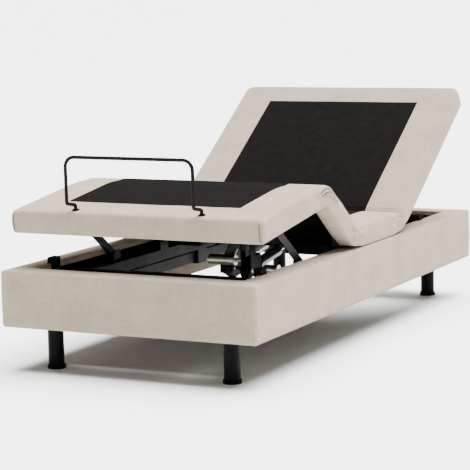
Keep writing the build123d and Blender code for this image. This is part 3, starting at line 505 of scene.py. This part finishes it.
def deck_places(step, corner):
    """Places along the deck: finer at its ends and folds, with lines at the two splits."""
    cover = bpy.context.scene.bed_cover
    reach = 1.6 * cover.fold_reach
    low = FOOT_END - cover.puff + cover.edge_round
    high = HEAD_END + cover.puff - cover.edge_round
    stops = [(low, low + corner, corner / 4), (low + corner, KNEE_PIVOT[0] - reach, step)]
    for pivot, split, after in ((KNEE_PIVOT[0], THIGH_MIDDLE, THIGH_PIVOT[0]),
                                (THIGH_PIVOT[0], SEAT_MIDDLE, HEAD_PIVOT[0])):
        stops += [(pivot - reach, pivot + reach, step / 5), (pivot + reach, split, step),
                  (split, after - reach, step)]
    stops += [(HEAD_PIVOT[0] - reach, HEAD_PIVOT[0] + reach, step / 5),
              (HEAD_PIVOT[0] + reach, high - corner, step), (high - corner, high, corner / 4)]
    return np.concatenate([spaced(*stop)[:-1] for stop in stops] + [[high]])


def skirt_profile(cover, low, high):
    """The cover's section outside the flat top: (outward, height, length of cloth) in order."""
    top, hem = cover.edge_round, cover.hem_round
    inner = SKIRT_INNER - (DECK_HALF_WIDTH + cover.puff - cover.edge_round)
    points = [(top * math.sin(a), high - top * (1 - math.cos(a)))
              for a in np.radians(np.linspace(9, 90, 10))]
    for z in np.linspace(high - top, low + hem, 34)[1:]:
        share = (high - top - z) / (high - top - low - hem)
        points.append((top + cover.side_bulge * math.sin(math.pi * share) ** 0.8, z))
    points += [(top - hem * (1 - math.cos(a)), low + hem * (1 - math.sin(a)))
               for a in np.radians([30, 60, 90])]
    points += [(top - hem + (inner + 3 * MM - top + hem) * share, low) for share in (0.3, 0.7, 1.0)]
    points += [(inner, low + 3 * MM), (inner, DUST_CLOTH_Z)]
    lengths, run, last = [], 0.0, (0.0, high)
    for point in points:
        run += math.dist(point, last)
        lengths.append(run)
        last = point
    return [(*point, length) for point, length in zip(points, lengths)]


def round_corners(plan, outward, box_low, box_high):
    """Plan points of a rectangle and its inside, moved outward, with each end's own corners."""
    cover = bpy.context.scene.bed_cover
    at_foot = plan[:, 1:] < THIGH_MIDDLE
    corner = np.where(at_foot, cover.foot_corner, cover.head_corner)
    if outward < -cover.foot_corner:
        return np.clip(plan, box_low - outward, box_high + outward), np.zeros_like(plan)
    inside = np.clip(plan, box_low + corner, box_high - corner)
    away = plan - inside
    along = np.max(np.abs(away), axis=1, keepdims=True)
    away = away / np.where(along > 0, along, 1)
    tips = np.all(np.abs(away) > 1e-9, axis=1)
    # Equal steps along a square corner become equal steps round its arc. The sewn foot corners
    # are squarer than an arc.
    small = np.abs(away[tips])
    angle = np.where(small[:, 0] >= small[:, 1], small[:, 1], 2 - small[:, 0]) * math.pi / 4
    power = np.where(at_foot[tips], 0.45, 1.0)
    turned = np.stack([np.cos(angle), np.sin(angle)], axis=1) ** power * np.sign(away[tips])
    away[tips] = turned
    return inside + away * np.maximum(along + outward, 0), away


def deck_surface():
    """The whole deck cover, laid flat: points (x, y, z), faces and UVs."""
    cover = bpy.context.scene.bed_cover
    corner = cover.head_corner
    edge = cover.edge_round
    half = DECK_HALF_WIDTH + cover.puff - edge
    ys = deck_places(cover.cloth_step, corner)
    side = spaced(-half + corner, half - corner, cover.cloth_step)
    tips = spaced(0, corner, corner / 4)[:-1]
    xs = np.concatenate([-half + tips, side, half - tips[::-1]])
    rows, columns = len(ys), len(xs)
    grid = np.array([(x, y) for y in ys for x in xs])
    box_low, box_high = np.array([-half, ys[0]]), np.array([half, ys[-1]])
    edge_index = ([i for i in range(columns)]
                  + [r * columns + columns - 1 for r in range(1, rows)]
                  + [(rows - 1) * columns + i for i in range(columns - 2, -1, -1)]
                  + [r * columns for r in range(rows - 2, 0, -1)])
    ring = grid[edge_index]
    grid, _ = round_corners(grid, 0.0, box_low, box_high)
    start, away = round_corners(ring, 0.0, box_low, box_high)
    points = [np.column_stack([grid, np.full(len(grid), DECK_TOP)])]
    uvs = [grid.copy()]
    faces = grid_faces(rows, columns)
    count = len(ring)
    last = list(edge_index)
    total = len(grid)
    for outward, height, length in skirt_profile(cover, DECK_BOTTOM, DECK_TOP):
        place, _ = round_corners(ring, outward, box_low, box_high)
        points.append(np.column_stack([place, np.full(count, height)]))
        uvs.append(start + away * length)
        now = list(range(total, total + count))
        faces += [(last[i], last[(i + 1) % count], now[(i + 1) % count], now[i]) for i in range(count)]
        last = now
        total += count
    return np.concatenate(points), faces, np.concatenate(uvs)


def outward_share(flat):
    """How much of each deck point's surface faces sideways, from 0 on top to 1 on a skirt."""
    cover = bpy.context.scene.bed_cover
    return np.clip((DECK_TOP - flat[:, 2]) / cover.edge_round, 0, 1)


def bell(distance, width):
    """A soft bump: 1 at no distance, and near 0 past two widths."""
    return np.exp(-(distance / width) ** 2)


def pull_cloth(flat):
    """Flat deck points with the swell, pleats and creases that the tight cloth has."""
    cover = bpy.context.scene.bed_cover
    thick = DECK_TOP - DECK_BOTTOM
    side = outward_share(flat)
    high = (flat[:, 2] - DECK_BOTTOM) / thick
    from_split = np.minimum(np.abs(flat[:, 1] - SEAT_MIDDLE), np.abs(flat[:, 1] - THIGH_MIDDLE))
    ease = np.clip((from_split - 10 * MM) / (30 * MM), 0, 1) * np.clip(high * 6, 0, 1)
    swell = soft_noise(flat, 0.17, cover.seed) * 1.0 * MM
    swell += soft_noise(flat, 0.05, cover.seed + 1) * 0.3 * MM
    # At the two inward folds the skirts crumple round the hinge line, and hang in a soft roll below it.
    for pivot, size, turn_at in ((HEAD_PIVOT, 3.2 * MM, 0.2), (THIGH_PIVOT, 4.2 * MM, 0.9)):
        away = flat[:, 1:] - pivot
        reach = np.hypot(away[:, 0], away[:, 1])
        spokes = np.cos(8 * np.arctan2(away[:, 1], away[:, 0]) + turn_at)
        swell += size * spokes * bell(reach - 40 * MM, 22 * MM)
        crease = bell(away[:, 0] - 3 * MM * np.sin(70 * away[:, 1]), 5 * MM)
        swell -= 2.4 * size * crease * np.clip(high - 0.35, 0, 1)
    # At the knee the slack gathers in pleats that hug the crest.
    from_knee = flat[:, 1] - KNEE_PIVOT[0]
    for level, size, width, along in (
        (0.92, 4.0 * MM, 0.05, 58 * MM), (0.83, -10.0 * MM, 0.034, 56 * MM),
        (0.76, 6.0 * MM, 0.045, 52 * MM), (0.68, -8.0 * MM, 0.032, 46 * MM),
        (0.61, 4.0 * MM, 0.05, 42 * MM), (0.53, -4.5 * MM, 0.036, 32 * MM),
    ):
        drift = 0.10 * (from_knee / (50 * MM)) ** 2
        swell += size * bell(high - level + drift, width) * bell(from_knee - 8 * MM, along)
    # The retainer's sockets draw the cloth down round them.
    sockets = [Vector(corner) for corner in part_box("retainer_sockets")]
    socket_middle = turn(in_plane((sockets[0] + sockets[1]) / 2), KNEE_REST, -FOOT_FLAT_ANGLE)
    middle_y = KNEE_PIVOT[0] + socket_middle[0] - KNEE_REST[0]
    beside = np.abs(flat[:, 0]) - (sockets[1].x - RETAINER_FLANGE)
    pucker = 3.0 * MM * bell(np.hypot(beside, flat[:, 1] - middle_y), 20 * MM) * (1 - side)

    out = flat.copy()
    out[:, 0] += np.sign(flat[:, 0]) * swell * side * ease
    out[:, 2] += 0.5 * swell * (1 - side) * ease - pucker
    crease = 6 * MM * bell(flat[:, 1] - HEAD_PIVOT[0] - 2.5 * MM * np.sin(23 * flat[:, 0]), 5 * MM)
    out[:, 2] -= crease * (1 - side)
    # The foam gives on the outer side of each fold: above the knee, and below the two others.
    give = cover.crest_dip / thick
    out[:, 2] -= (out[:, 2] - DECK_BOTTOM) * give * bell(from_knee, 68 * MM)
    for pivot in (HEAD_PIVOT, THIGH_PIVOT):
        out[:, 2] += (DECK_TOP - out[:, 2]) * 0.9 * give * bell(flat[:, 1] - pivot[0], 42 * MM)
    return out


# Each length of the cover: its name, the bodies before and after its fold, and the fold's pivot,
# angle and way along the bed.
LENGTHS = (
    ("foot_cover", "thigh", "foot", KNEE_PIVOT, KNEE_ANGLE, -1),
    ("thigh_cover", "carriage", "thigh", THIGH_PIVOT, -THIGH_ANGLE, -1),
    ("head_cover", "carriage", "head", HEAD_PIVOT, HEAD_ANGLE, 1),
)


def on_thigh(points, index):
    """The foot length hangs on the thigh panel, so it turns with that as well."""
    return turn(points, THIGH_PIVOT, -THIGH_ANGLE) if index == 0 else points


def rest_shape_of(flat, index):
    """One length's flat deck points bent into the rest pose."""
    pivot, angle, way = LENGTHS[index][3:]
    out = flat.copy()
    folded = fold(flat[:, 1:], pivot, angle, way, bpy.context.scene.bed_cover.fold_reach)
    out[:, 1:] = on_thigh(folded, index)
    return out


def length_of(flat_y):
    """Which of the cover's three lengths a place along the flat deck belongs to."""
    return 0 if flat_y < THIGH_MIDDLE else 1 if flat_y < SEAT_MIDDLE else 2


def split_piece(word, flat, faces, uvs, material):
    """One sheet cut into its three lengths, each bent and blended over its own fold."""
    made = []
    which = np.array([length_of(np.mean(flat[list(face), 1])) for face in faces])
    for index, (name, still, moving, *_) in enumerate(LENGTHS):
        chosen = [face for face, length in zip(faces, which) if length == index]
        used = sorted({i for face in chosen for i in face})
        number = {old: new for new, old in enumerate(used)}
        # Points on a split line belong to two lengths, and are bent with the one being made.
        piece = cloth_object(name.replace("cover", word), rest_shape_of(flat[used], index),
                             [[number[i] for i in face] for face in chosen], uvs[used], material)
        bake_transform(piece)
        made.append(piece)
    return made


class BEDBASE_OT_deck_cover(bpy.types.Operator):
    """Make the woven cover over the deck's four panels"""

    bl_idname = "bed_base.deck_cover"
    bl_label = "Deck cover"

    def execute(self, context):
        flat, faces, uvs = deck_surface()
        material = material_for("linen_look_polyester")
        pads = (("foot_pad",), ("thigh_pad", "seat_pad"), ("head_pad",))
        for piece, hidden in zip(split_piece("cover", pull_cloth(flat), faces, uvs, material), pads):
            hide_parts(*hidden)
        return {"FINISHED"}


class BEDBASE_OT_grip_cloth(bpy.types.Operator):
    """Make the black non-slip cloth along the middle of the deck"""

    bl_idname = "bed_base.grip_cloth"
    bl_label = "Grip cloth"

    def execute(self, context):
        cover = context.scene.bed_cover
        ys = deck_places(cover.cloth_step, cover.head_corner)
        ys = ys[(ys > FOOT_GRIP_END + 4 * MM) & (ys < HEAD_GRIP_END - 4 * MM)]
        # The patch's bound rim dips into the cover, and the rest stands a little proud of it.
        rim = 1.5 * MM
        ys = np.concatenate([[FOOT_GRIP_END, FOOT_GRIP_END + rim], ys,
                             [HEAD_GRIP_END - rim, HEAD_GRIP_END]])
        inner = spaced(-GRIP_HALF_WIDTH + rim, GRIP_HALF_WIDTH - rim, cover.cloth_step)
        xs = np.concatenate([[-GRIP_HALF_WIDTH], inner, [GRIP_HALF_WIDTH]])
        rows, columns = len(ys), len(xs)
        proud = np.full((rows, columns), 1.3 * MM)
        proud[[0, -1], :] = -0.6 * MM
        proud[:, [0, -1]] = -0.6 * MM
        flat = np.array([(x, y, DECK_TOP) for y in ys for x in xs])
        flat = pull_cloth(flat)
        flat[:, 2] += proud.ravel()
        lengths = split_piece("grip_cloth", flat, grid_faces(rows, columns), flat[:, :2],
                              material_for("grip_felt"))
        patches = (("foot_grip",), ("thigh_grip", "seat_grip"), ("head_grip",))
        for index, piece in enumerate(lengths):
            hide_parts(*patches[index])
        return {"FINISHED"}


def rounded_ring(half_x, half_y, radius, corner_count, step):
    """Points (x, y) round a rectangle with rounded corners."""
    ring = []
    for x, y, start, way in ((half_x, half_y, 0, (-1, 0)), (-half_x, half_y, 90, (0, -1)),
                             (-half_x, -half_y, 180, (1, 0)), (half_x, -half_y, 270, (0, 1))):
        centre = np.array([x - math.copysign(radius, x), y - math.copysign(radius, y)])
        for a in np.radians(np.linspace(start, start + 90, corner_count)):
            ring.append(centre + radius * np.array([math.cos(a), math.sin(a)]))
        last = ring[-1]
        run = 2 * ((half_x if way[0] else half_y) - radius)
        for share in spaced(0, run, step)[1:-1]:
            ring.append(last + np.array(way) * share)
    return np.array(ring)


def ring_lengths(ring):
    """How far along a closed ring each of its points is."""
    steps = np.linalg.norm(np.roll(ring, -1, axis=0) - ring, axis=1)
    return np.concatenate([[0], np.cumsum(steps)[:-1]])


class BEDBASE_OT_rail_cover(bpy.types.Operator):
    """Make the woven cover round the rail box"""

    bl_idname = "bed_base.rail_cover"
    bl_label = "Rail cover"

    def execute(self, context):
        cover = context.scene.bed_cover
        radius = cover.rail_round
        low, high, deep = RAIL_LOW, RAIL_HIGH, RAIL_THICKNESS
        hem = 6 * MM
        profile = [(0.0, low.z + hem)]
        profile += [(0.0, z) for z in np.linspace(low.z + hem, high.z - radius, 12)[1:]]
        profile += [(radius * (1 - math.cos(a)), high.z - radius * (1 - math.sin(a)))
                    for a in np.radians([15, 30, 45, 60, 75, 90])]
        inner = cover.rail_inner_round
        profile += [(x, high.z) for x in np.linspace(radius, deep - inner, 6)[1:]]
        profile += [(deep - inner * (1 - math.sin(a)), high.z - inner * (1 - math.cos(a)))
                    for a in np.radians([30, 60, 90])]
        profile += [(deep, low.z + hem), (deep - hem, low.z), (hem, low.z)]
        half_x, half_y = half = np.array([high.x, high.y])
        ring = rounded_ring(half_x, half_y, radius, 8, cover.cloth_step)
        around = ring_lengths(ring)
        count = len(ring)
        points, uvs, run, previous = [], [], 0.0, profile[0]
        for inward, height in profile:
            run += math.dist((inward, height), previous)
            previous = (inward, height)
            limit = half - max(inward, radius)
            inside = np.clip(ring, -limit, limit)
            away = (ring - np.clip(ring, radius - half, half - radius)) / radius
            place = inside + away * max(radius - inward, 0)
            points.append(np.column_stack([place, np.full(count, height)]))
            uvs.append(np.column_stack([around, np.full(count, run)]))
        points, uvs = np.concatenate(points), np.concatenate(uvs)
        waves = soft_noise(points, 0.22, cover.seed + 4) * 1.0 * MM
        depth = np.minimum(half_x - np.abs(points[:, 0]), half_y - np.abs(points[:, 1]))
        outer = np.clip(1 - depth / radius, 0, 1)
        level = np.sin(np.pi * np.clip((points[:, 2] - low.z) / (high.z - low.z), 0, 1))
        push = outer * level * (waves + 1.5 * MM)
        facing_x = half_x - np.abs(points[:, 0]) < half_y - np.abs(points[:, 1])
        points[:, 0] += np.where(facing_x, np.sign(points[:, 0]) * push, 0)
        points[:, 1] += np.where(facing_x, 0, np.sign(points[:, 1]) * push)
        piece = cloth_object("rail_cover", points, ring_faces(len(profile), count, True), uvs,
                             material_for("linen_look_polyester"))
        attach(piece, "base")
        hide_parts("foot_rail_cover", "head_rail_cover", "left_rail_cover", "right_rail_cover")
        return {"FINISHED"}


def cord_mesh(work, path, radius, sides=8):
    """Add a closed round cord, thinner at its ends, along a path of points."""
    rings = []
    for index, point in enumerate(path):
        ahead = path[min(index + 1, len(path) - 1)] - path[max(index - 1, 0)]
        turned = ahead.to_track_quat("Z", "Y").to_matrix()
        size = radius * (0.35 if index in (0, len(path) - 1) else 1.0)
        rings.append([
            work.verts.new(point + turned @ Vector((size * math.cos(a), size * math.sin(a), 0)))
            for a in (2 * math.pi * k / sides for k in range(sides))
        ])
    for low, high in zip(rings, rings[1:]):
        for k in range(sides):
            work.faces.new((low[k], low[(k + 1) % sides], high[(k + 1) % sides], high[k]))
    work.faces.new(rings[0][::-1])
    work.faces.new(rings[-1])


class BEDBASE_OT_corner_seams(bpy.types.Operator):
    """Sew the upright seams at the foot panel's two corners"""

    bl_idname = "bed_base.corner_seams"
    bl_label = "Corner seams"

    def execute(self, context):
        cover = context.scene.bed_cover
        flat, _, _ = deck_surface()
        low, high = DECK_BOTTOM + cover.hem_round, DECK_TOP - 0.7 * cover.edge_round
        near = flat[(flat[:, 1] < FOOT_END + 60 * MM) & (flat[:, 2] > low - 4 * MM)]
        heights = spaced(low, high, 4 * MM)
        # A stitch is a short bar over the seam: millimetres across, and proud of the cloth.
        stitch = ((-4.5, -0.3), (-2.5, 0.5), (0, 0.9), (2.5, 0.5), (4.5, -0.3))

        def skin(x, z):
            """The cloth's place at a seam point: the outermost nearby point of the skirt."""
            there = near[(np.abs(near[:, 0] - x) < 12 * MM) & (np.abs(near[:, 2] - z) < 3 * MM)]
            return there[:, 1].min() if len(there) else FOOT_END

        def thread(work, line, radius):
            """Add one thread along flat points, bent with the foot length."""
            cord_mesh(work, [Vector(p) for p in rest_shape_of(np.array(line), 0)], radius)

        for word, side in (("left", -1), ("right", 1)):
            # The seam runs up the skirt a little in from the corner, on the end face.
            x = side * (DECK_HALF_WIDTH - 6 * MM)
            work = bmesh.new()
            # The dark cord up the seam is painted shade for the shadow in the seam's groove; the stitches across
            # it share its colour.
            thread(work, [(x, skin(x, z) - 0.2 * MM, z) for z in heights], 0.8 * MM)
            for number, z in enumerate(heights[1:-1:2]):
                lean = (1.5 if number % 2 else -1.2) * MM
                thread(work, [(x + across * MM, skin(x, z) - lift * MM, z + lean * across / 5)
                              for across, lift in stitch], 0.55 * MM)
            mesh = bpy.data.meshes.new(f"foot_seam_{word}")
            work.to_mesh(mesh)
            work.free()
            mesh.polygons.foreach_set("use_smooth", [True] * len(mesh.polygons))
            mesh.materials.append(material_for("sewing_thread"))
            made = bpy.data.objects.new(f"foot_seam_{word}", mesh)
            context.scene.collection.objects.link(made)
            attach(made, "foot")
        return {"FINISHED"}


# ---- the thin black cloths -------------------------------------------------------------
# Node, the frame it is stapled under, the body it rides, and the turn that lays it flat.
DUST_CLOTHS = (
    ("head_dust_cloth", "head_frame", "head", HEAD_PIVOT, HEAD_ANGLE),
    ("thigh_dust_cloth", "thigh_frame", "thigh", THIGH_PIVOT, -THIGH_ANGLE),
    ("foot_dust_cloth", "foot_frame", "foot", KNEE_REST, FOOT_FLAT_ANGLE),
)


class BEDBASE_OT_dust_cloths(bpy.types.Operator):
    """Make the black dust cloths stapled under the three moving panels"""

    bl_idname = "bed_base.dust_cloths"
    bl_label = "Dust cloths"

    def execute(self, context):
        cover = context.scene.bed_cover
        for name, frame_name, body, pivot, angle in DUST_CLOTHS:
            low, high = flat_reach(name, pivot, -angle)
            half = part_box(name)[1][0]
            xs = spaced(-half, half, 2 * cover.cloth_step)
            ys = spaced(low[0], high[0], 2 * cover.cloth_step)
            flat = np.array([(x, y, (low[1] + high[1]) / 2) for y in ys for x in xs])
            # Faint ripples between the staples, under half the felt's own thickness.
            flat[:, 2] += soft_noise(flat[:, :2], 0.12, cover.seed + 9) * 0.35 * MM
            bent = flat.copy()
            bent[:, 1:] = turn(flat[:, 1:], pivot, angle)
            # Their felt is darkened with painted shade for the shade under the panels.
            piece = cloth_object(name + "_felt", bent, grid_faces(len(ys), len(xs)),
                                 flat[:, :2], material_for("dust_felt"))
            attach(piece, body)
            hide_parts(name)
        return {"FINISHED"}


class BEDBASE_OT_rail_lining(bpy.types.Operator):
    """Make the black lining inside the rails"""

    bl_idname = "bed_base.rail_lining"
    bl_label = "Rail lining"

    def execute(self, context):
        cover = context.scene.bed_cover
        low, high = (Vector(corner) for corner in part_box("rail_lining"))
        gap = 0.75 * MM
        half_x, half_y = high.x - gap, high.y - gap
        corner = 6 * MM
        ring = rounded_ring(half_x, half_y, corner, 4, 2 * cover.cloth_step)
        around = ring_lengths(ring)
        heights = spaced(low.z, high.z, cover.cloth_step)
        points = np.array([(x, y, z) for z in heights for x, y in ring])
        # Slack between the staples lets the lining stand off the boards a little.
        slack = np.sin(np.pi * (points[:, 2] - low.z) / (high.z - low.z))
        inward = (0.3 + 0.3 * soft_noise(points, 0.15, cover.seed + 6)) * MM * slack
        points[:, 0] -= np.sign(points[:, 0]) * inward * (np.abs(points[:, 0]) > half_x - corner)
        points[:, 1] -= np.sign(points[:, 1]) * inward * (np.abs(points[:, 1]) > half_y - corner)
        uvs = [(a, z) for z in heights for a in around]
        # The lining's felt is darkened with painted shade for the shade inside the rails.
        piece = cloth_object("rail_lining_felt", points, ring_faces(len(heights), len(ring), False),
                             uvs, material_for("dust_felt"))
        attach(piece, "base")
        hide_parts("rail_lining")
        return {"FINISHED"}


# ---- finishes on the CAD parts ---------------------------------------------------------
STEEL_PARTS = {
    "powder_coated_steel": ("track_frame", "carriage_frame", "shoe_hangers", "leg_drive_ears",
                            "head_drive_ears", "foot_link_brackets", "head_lever", "thigh_lever",
                            "foot_link_ears", "foot_link_left", "foot_link_right", "retainer_bar",
                            "retainer_sockets"),
    "zinc_plated_steel": ("seat_hinge_leaves", "seat_hinge_pins", "head_hinge_leaves",
                          "thigh_hinge_leaves", "knee_hinge_pins", "foot_hinge_leaves",
                          "head_drive_rear_pin", "leg_drive_rear_pin", "leg_drive_front_pin",
                          "head_drive_front_pin"),
}
DRIVE_PARTS = {
    "moulded_nylon": ("leg_drive_gearbox", "head_drive_gearbox", "control_box", "power_supply",
                      "glide_shoes"),
    "drawn_steel": ("leg_drive_motor", "head_drive_motor", "leg_drive_rod", "head_drive_rod"),
    "extruded_aluminium": ("leg_drive_barrel", "head_drive_barrel"),
}
WOOD_PARTS = {"stained_plywood": ("rail_boards", "corner_blocks", "seat_frame", "head_frame",
                                "thigh_frame", "foot_frame")}
LEG_PARTS = {"moulded_nylon": ("legs", "leg_glides"), "moulded_rubber": ("rest_bumpers",)}


def finish_nodes(groups):
    """Give CAD nodes their finishes."""
    for material, nodes in groups.items():
        for name in nodes:
            mesh = frame["nodes"][name].data
            mesh.materials.clear()
            mesh.materials.append(material_for(material))


class BEDBASE_OT_steelwork(bpy.types.Operator):
    """Finish the tubes, levers, links, hinges and pins"""

    bl_idname = "bed_base.steelwork"
    bl_label = "Steelwork"

    def execute(self, context):
        finish_nodes(STEEL_PARTS)
        return {"FINISHED"}


class BEDBASE_OT_drives(bpy.types.Operator):
    """Finish the two drives and the control gear"""

    bl_idname = "bed_base.drives"
    bl_label = "Drives"

    def execute(self, context):
        finish_nodes(DRIVE_PARTS)
        return {"FINISHED"}


class BEDBASE_OT_woodwork(bpy.types.Operator):
    """Finish the panel frames and the rails' boards"""

    bl_idname = "bed_base.woodwork"
    bl_label = "Woodwork"

    def execute(self, context):
        finish_nodes(WOOD_PARTS)
        return {"FINISHED"}


class BEDBASE_OT_legs(bpy.types.Operator):
    """Finish the legs, their glides and the rest bumpers"""

    bl_idname = "bed_base.legs"
    bl_label = "Legs"

    def execute(self, context):
        finish_nodes(LEG_PARTS)
        return {"FINISHED"}


# ---- stage -----------------------------------------------------------------------------
def area_light(name, place, target, size, power):
    """A square softbox that faces a point."""
    light = bpy.data.lights.new(name, "AREA")
    light.shape, light.size, light.energy = "SQUARE", size, power
    made = bpy.data.objects.new(name, light)
    made.location = place
    made.rotation_euler = (Vector(target) - Vector(place)).to_track_quat("-Z", "Y").to_euler()
    bpy.context.scene.collection.objects.link(made)


class BEDBASE_OT_stage(bpy.types.Operator):
    """Make the floor, the light and the camera"""

    bl_idname = "bed_base.stage"
    bl_label = "Stage"

    def execute(self, context):
        stage = context.scene.bed_stage
        floor_half = 250.0
        mesh = bpy.data.meshes.new("studio_floor")
        corners = [(-1, -1), (1, -1), (1, 1), (-1, 1)]
        mesh.from_pydata([(x * floor_half, y * floor_half, 0) for x, y in corners], [], [(0, 1, 2, 3)])
        mesh.materials.append(material_for("matt_floor_paint"))
        floor = bpy.data.objects.new("studio_floor", mesh)
        context.scene.collection.objects.link(floor)

        world = bpy.data.worlds.new("studio")
        world.use_nodes = True
        background = world.node_tree.nodes["Background"]
        background.inputs["Color"].default_value = (1.0, 1.0, 1.0, 1.0)
        background.inputs["Strength"].default_value = stage.world_light
        context.scene.world = world
        middle = (0.0, 0.0, 0.4)
        sky = bpy.data.lights.new("overhead_light", "SUN")
        sky.energy, sky.angle = stage.sky_light, stage.sky_spread
        overhead = bpy.data.objects.new("overhead_light", sky)
        overhead.rotation_euler = Vector((0.12, 0.25, 1.0)).to_track_quat("Z", "Y").to_euler()
        context.scene.collection.objects.link(overhead)
        area_light("side_softbox", (4.2, 0.4, 1.8), middle, 2.4, stage.side_power)

        a, e, roll = stage.azimuth, stage.elevation, stage.roll
        back = Vector((math.sin(a) * math.cos(e), -math.cos(a) * math.cos(e), math.sin(e)))
        right = Vector((math.cos(a), math.sin(a), 0.0))
        up = back.cross(right)
        across = right * math.cos(roll) + up * math.sin(roll)
        over = up * math.cos(roll) - right * math.sin(roll)
        camera = bpy.data.objects.new("camera", bpy.data.cameras.new("camera"))
        camera.data.lens = stage.lens
        camera.data.clip_end = 600.0
        turned = Matrix((across, over, back)).transposed().to_4x4()
        camera.matrix_world = Matrix.Translation(Vector(stage.target) + back * stage.distance) @ turned
        context.scene.collection.objects.link(camera)
        context.scene.camera = camera
        return {"FINISHED"}


class BEDBASE_PT_panel(bpy.types.Panel):
    """The bed base's pieces"""

    bl_label = "Bed base"
    bl_space_type = "VIEW_3D"
    bl_region_type = "UI"
    bl_category = "Bed base"

    def draw(self, context):
        for group in (context.scene.bed_cover, context.scene.bed_colours, context.scene.bed_stage):
            for name in group.bl_rna.properties.keys():
                if name not in {"rna_type", "name"}:
                    self.layout.prop(group, name)
        for operator in OPERATORS:
            self.layout.operator(operator.bl_idname)


OPERATORS = (
    BEDBASE_OT_stage,
    BEDBASE_OT_deck_cover,
    BEDBASE_OT_corner_seams,
    BEDBASE_OT_grip_cloth,
    BEDBASE_OT_rail_cover,
    BEDBASE_OT_rail_lining,
    BEDBASE_OT_dust_cloths,
    BEDBASE_OT_steelwork,
    BEDBASE_OT_drives,
    BEDBASE_OT_woodwork,
    BEDBASE_OT_legs,
)
GROUPS = {"bed_cover": CoverSizes, "bed_colours": Colours, "bed_stage": StageSettings}


def register():
    for group in GROUPS.values():
        bpy.utils.register_class(group)
    for name, group in GROUPS.items():
        setattr(bpy.types.Scene, name, PointerProperty(type=group))
    for shown in (*OPERATORS, BEDBASE_PT_panel):
        bpy.utils.register_class(shown)


def unregister():
    for shown in (BEDBASE_PT_panel, *reversed(OPERATORS)):
        bpy.utils.unregister_class(shown)
    for name, group in GROUPS.items():
        delattr(bpy.types.Scene, name)
        bpy.utils.unregister_class(group)


def main():
    register()
    for operator in OPERATORS:
        getattr(bpy.ops.bed_base, operator.bl_idname.split(".")[1])()


if __name__ == "__main__":
    main()
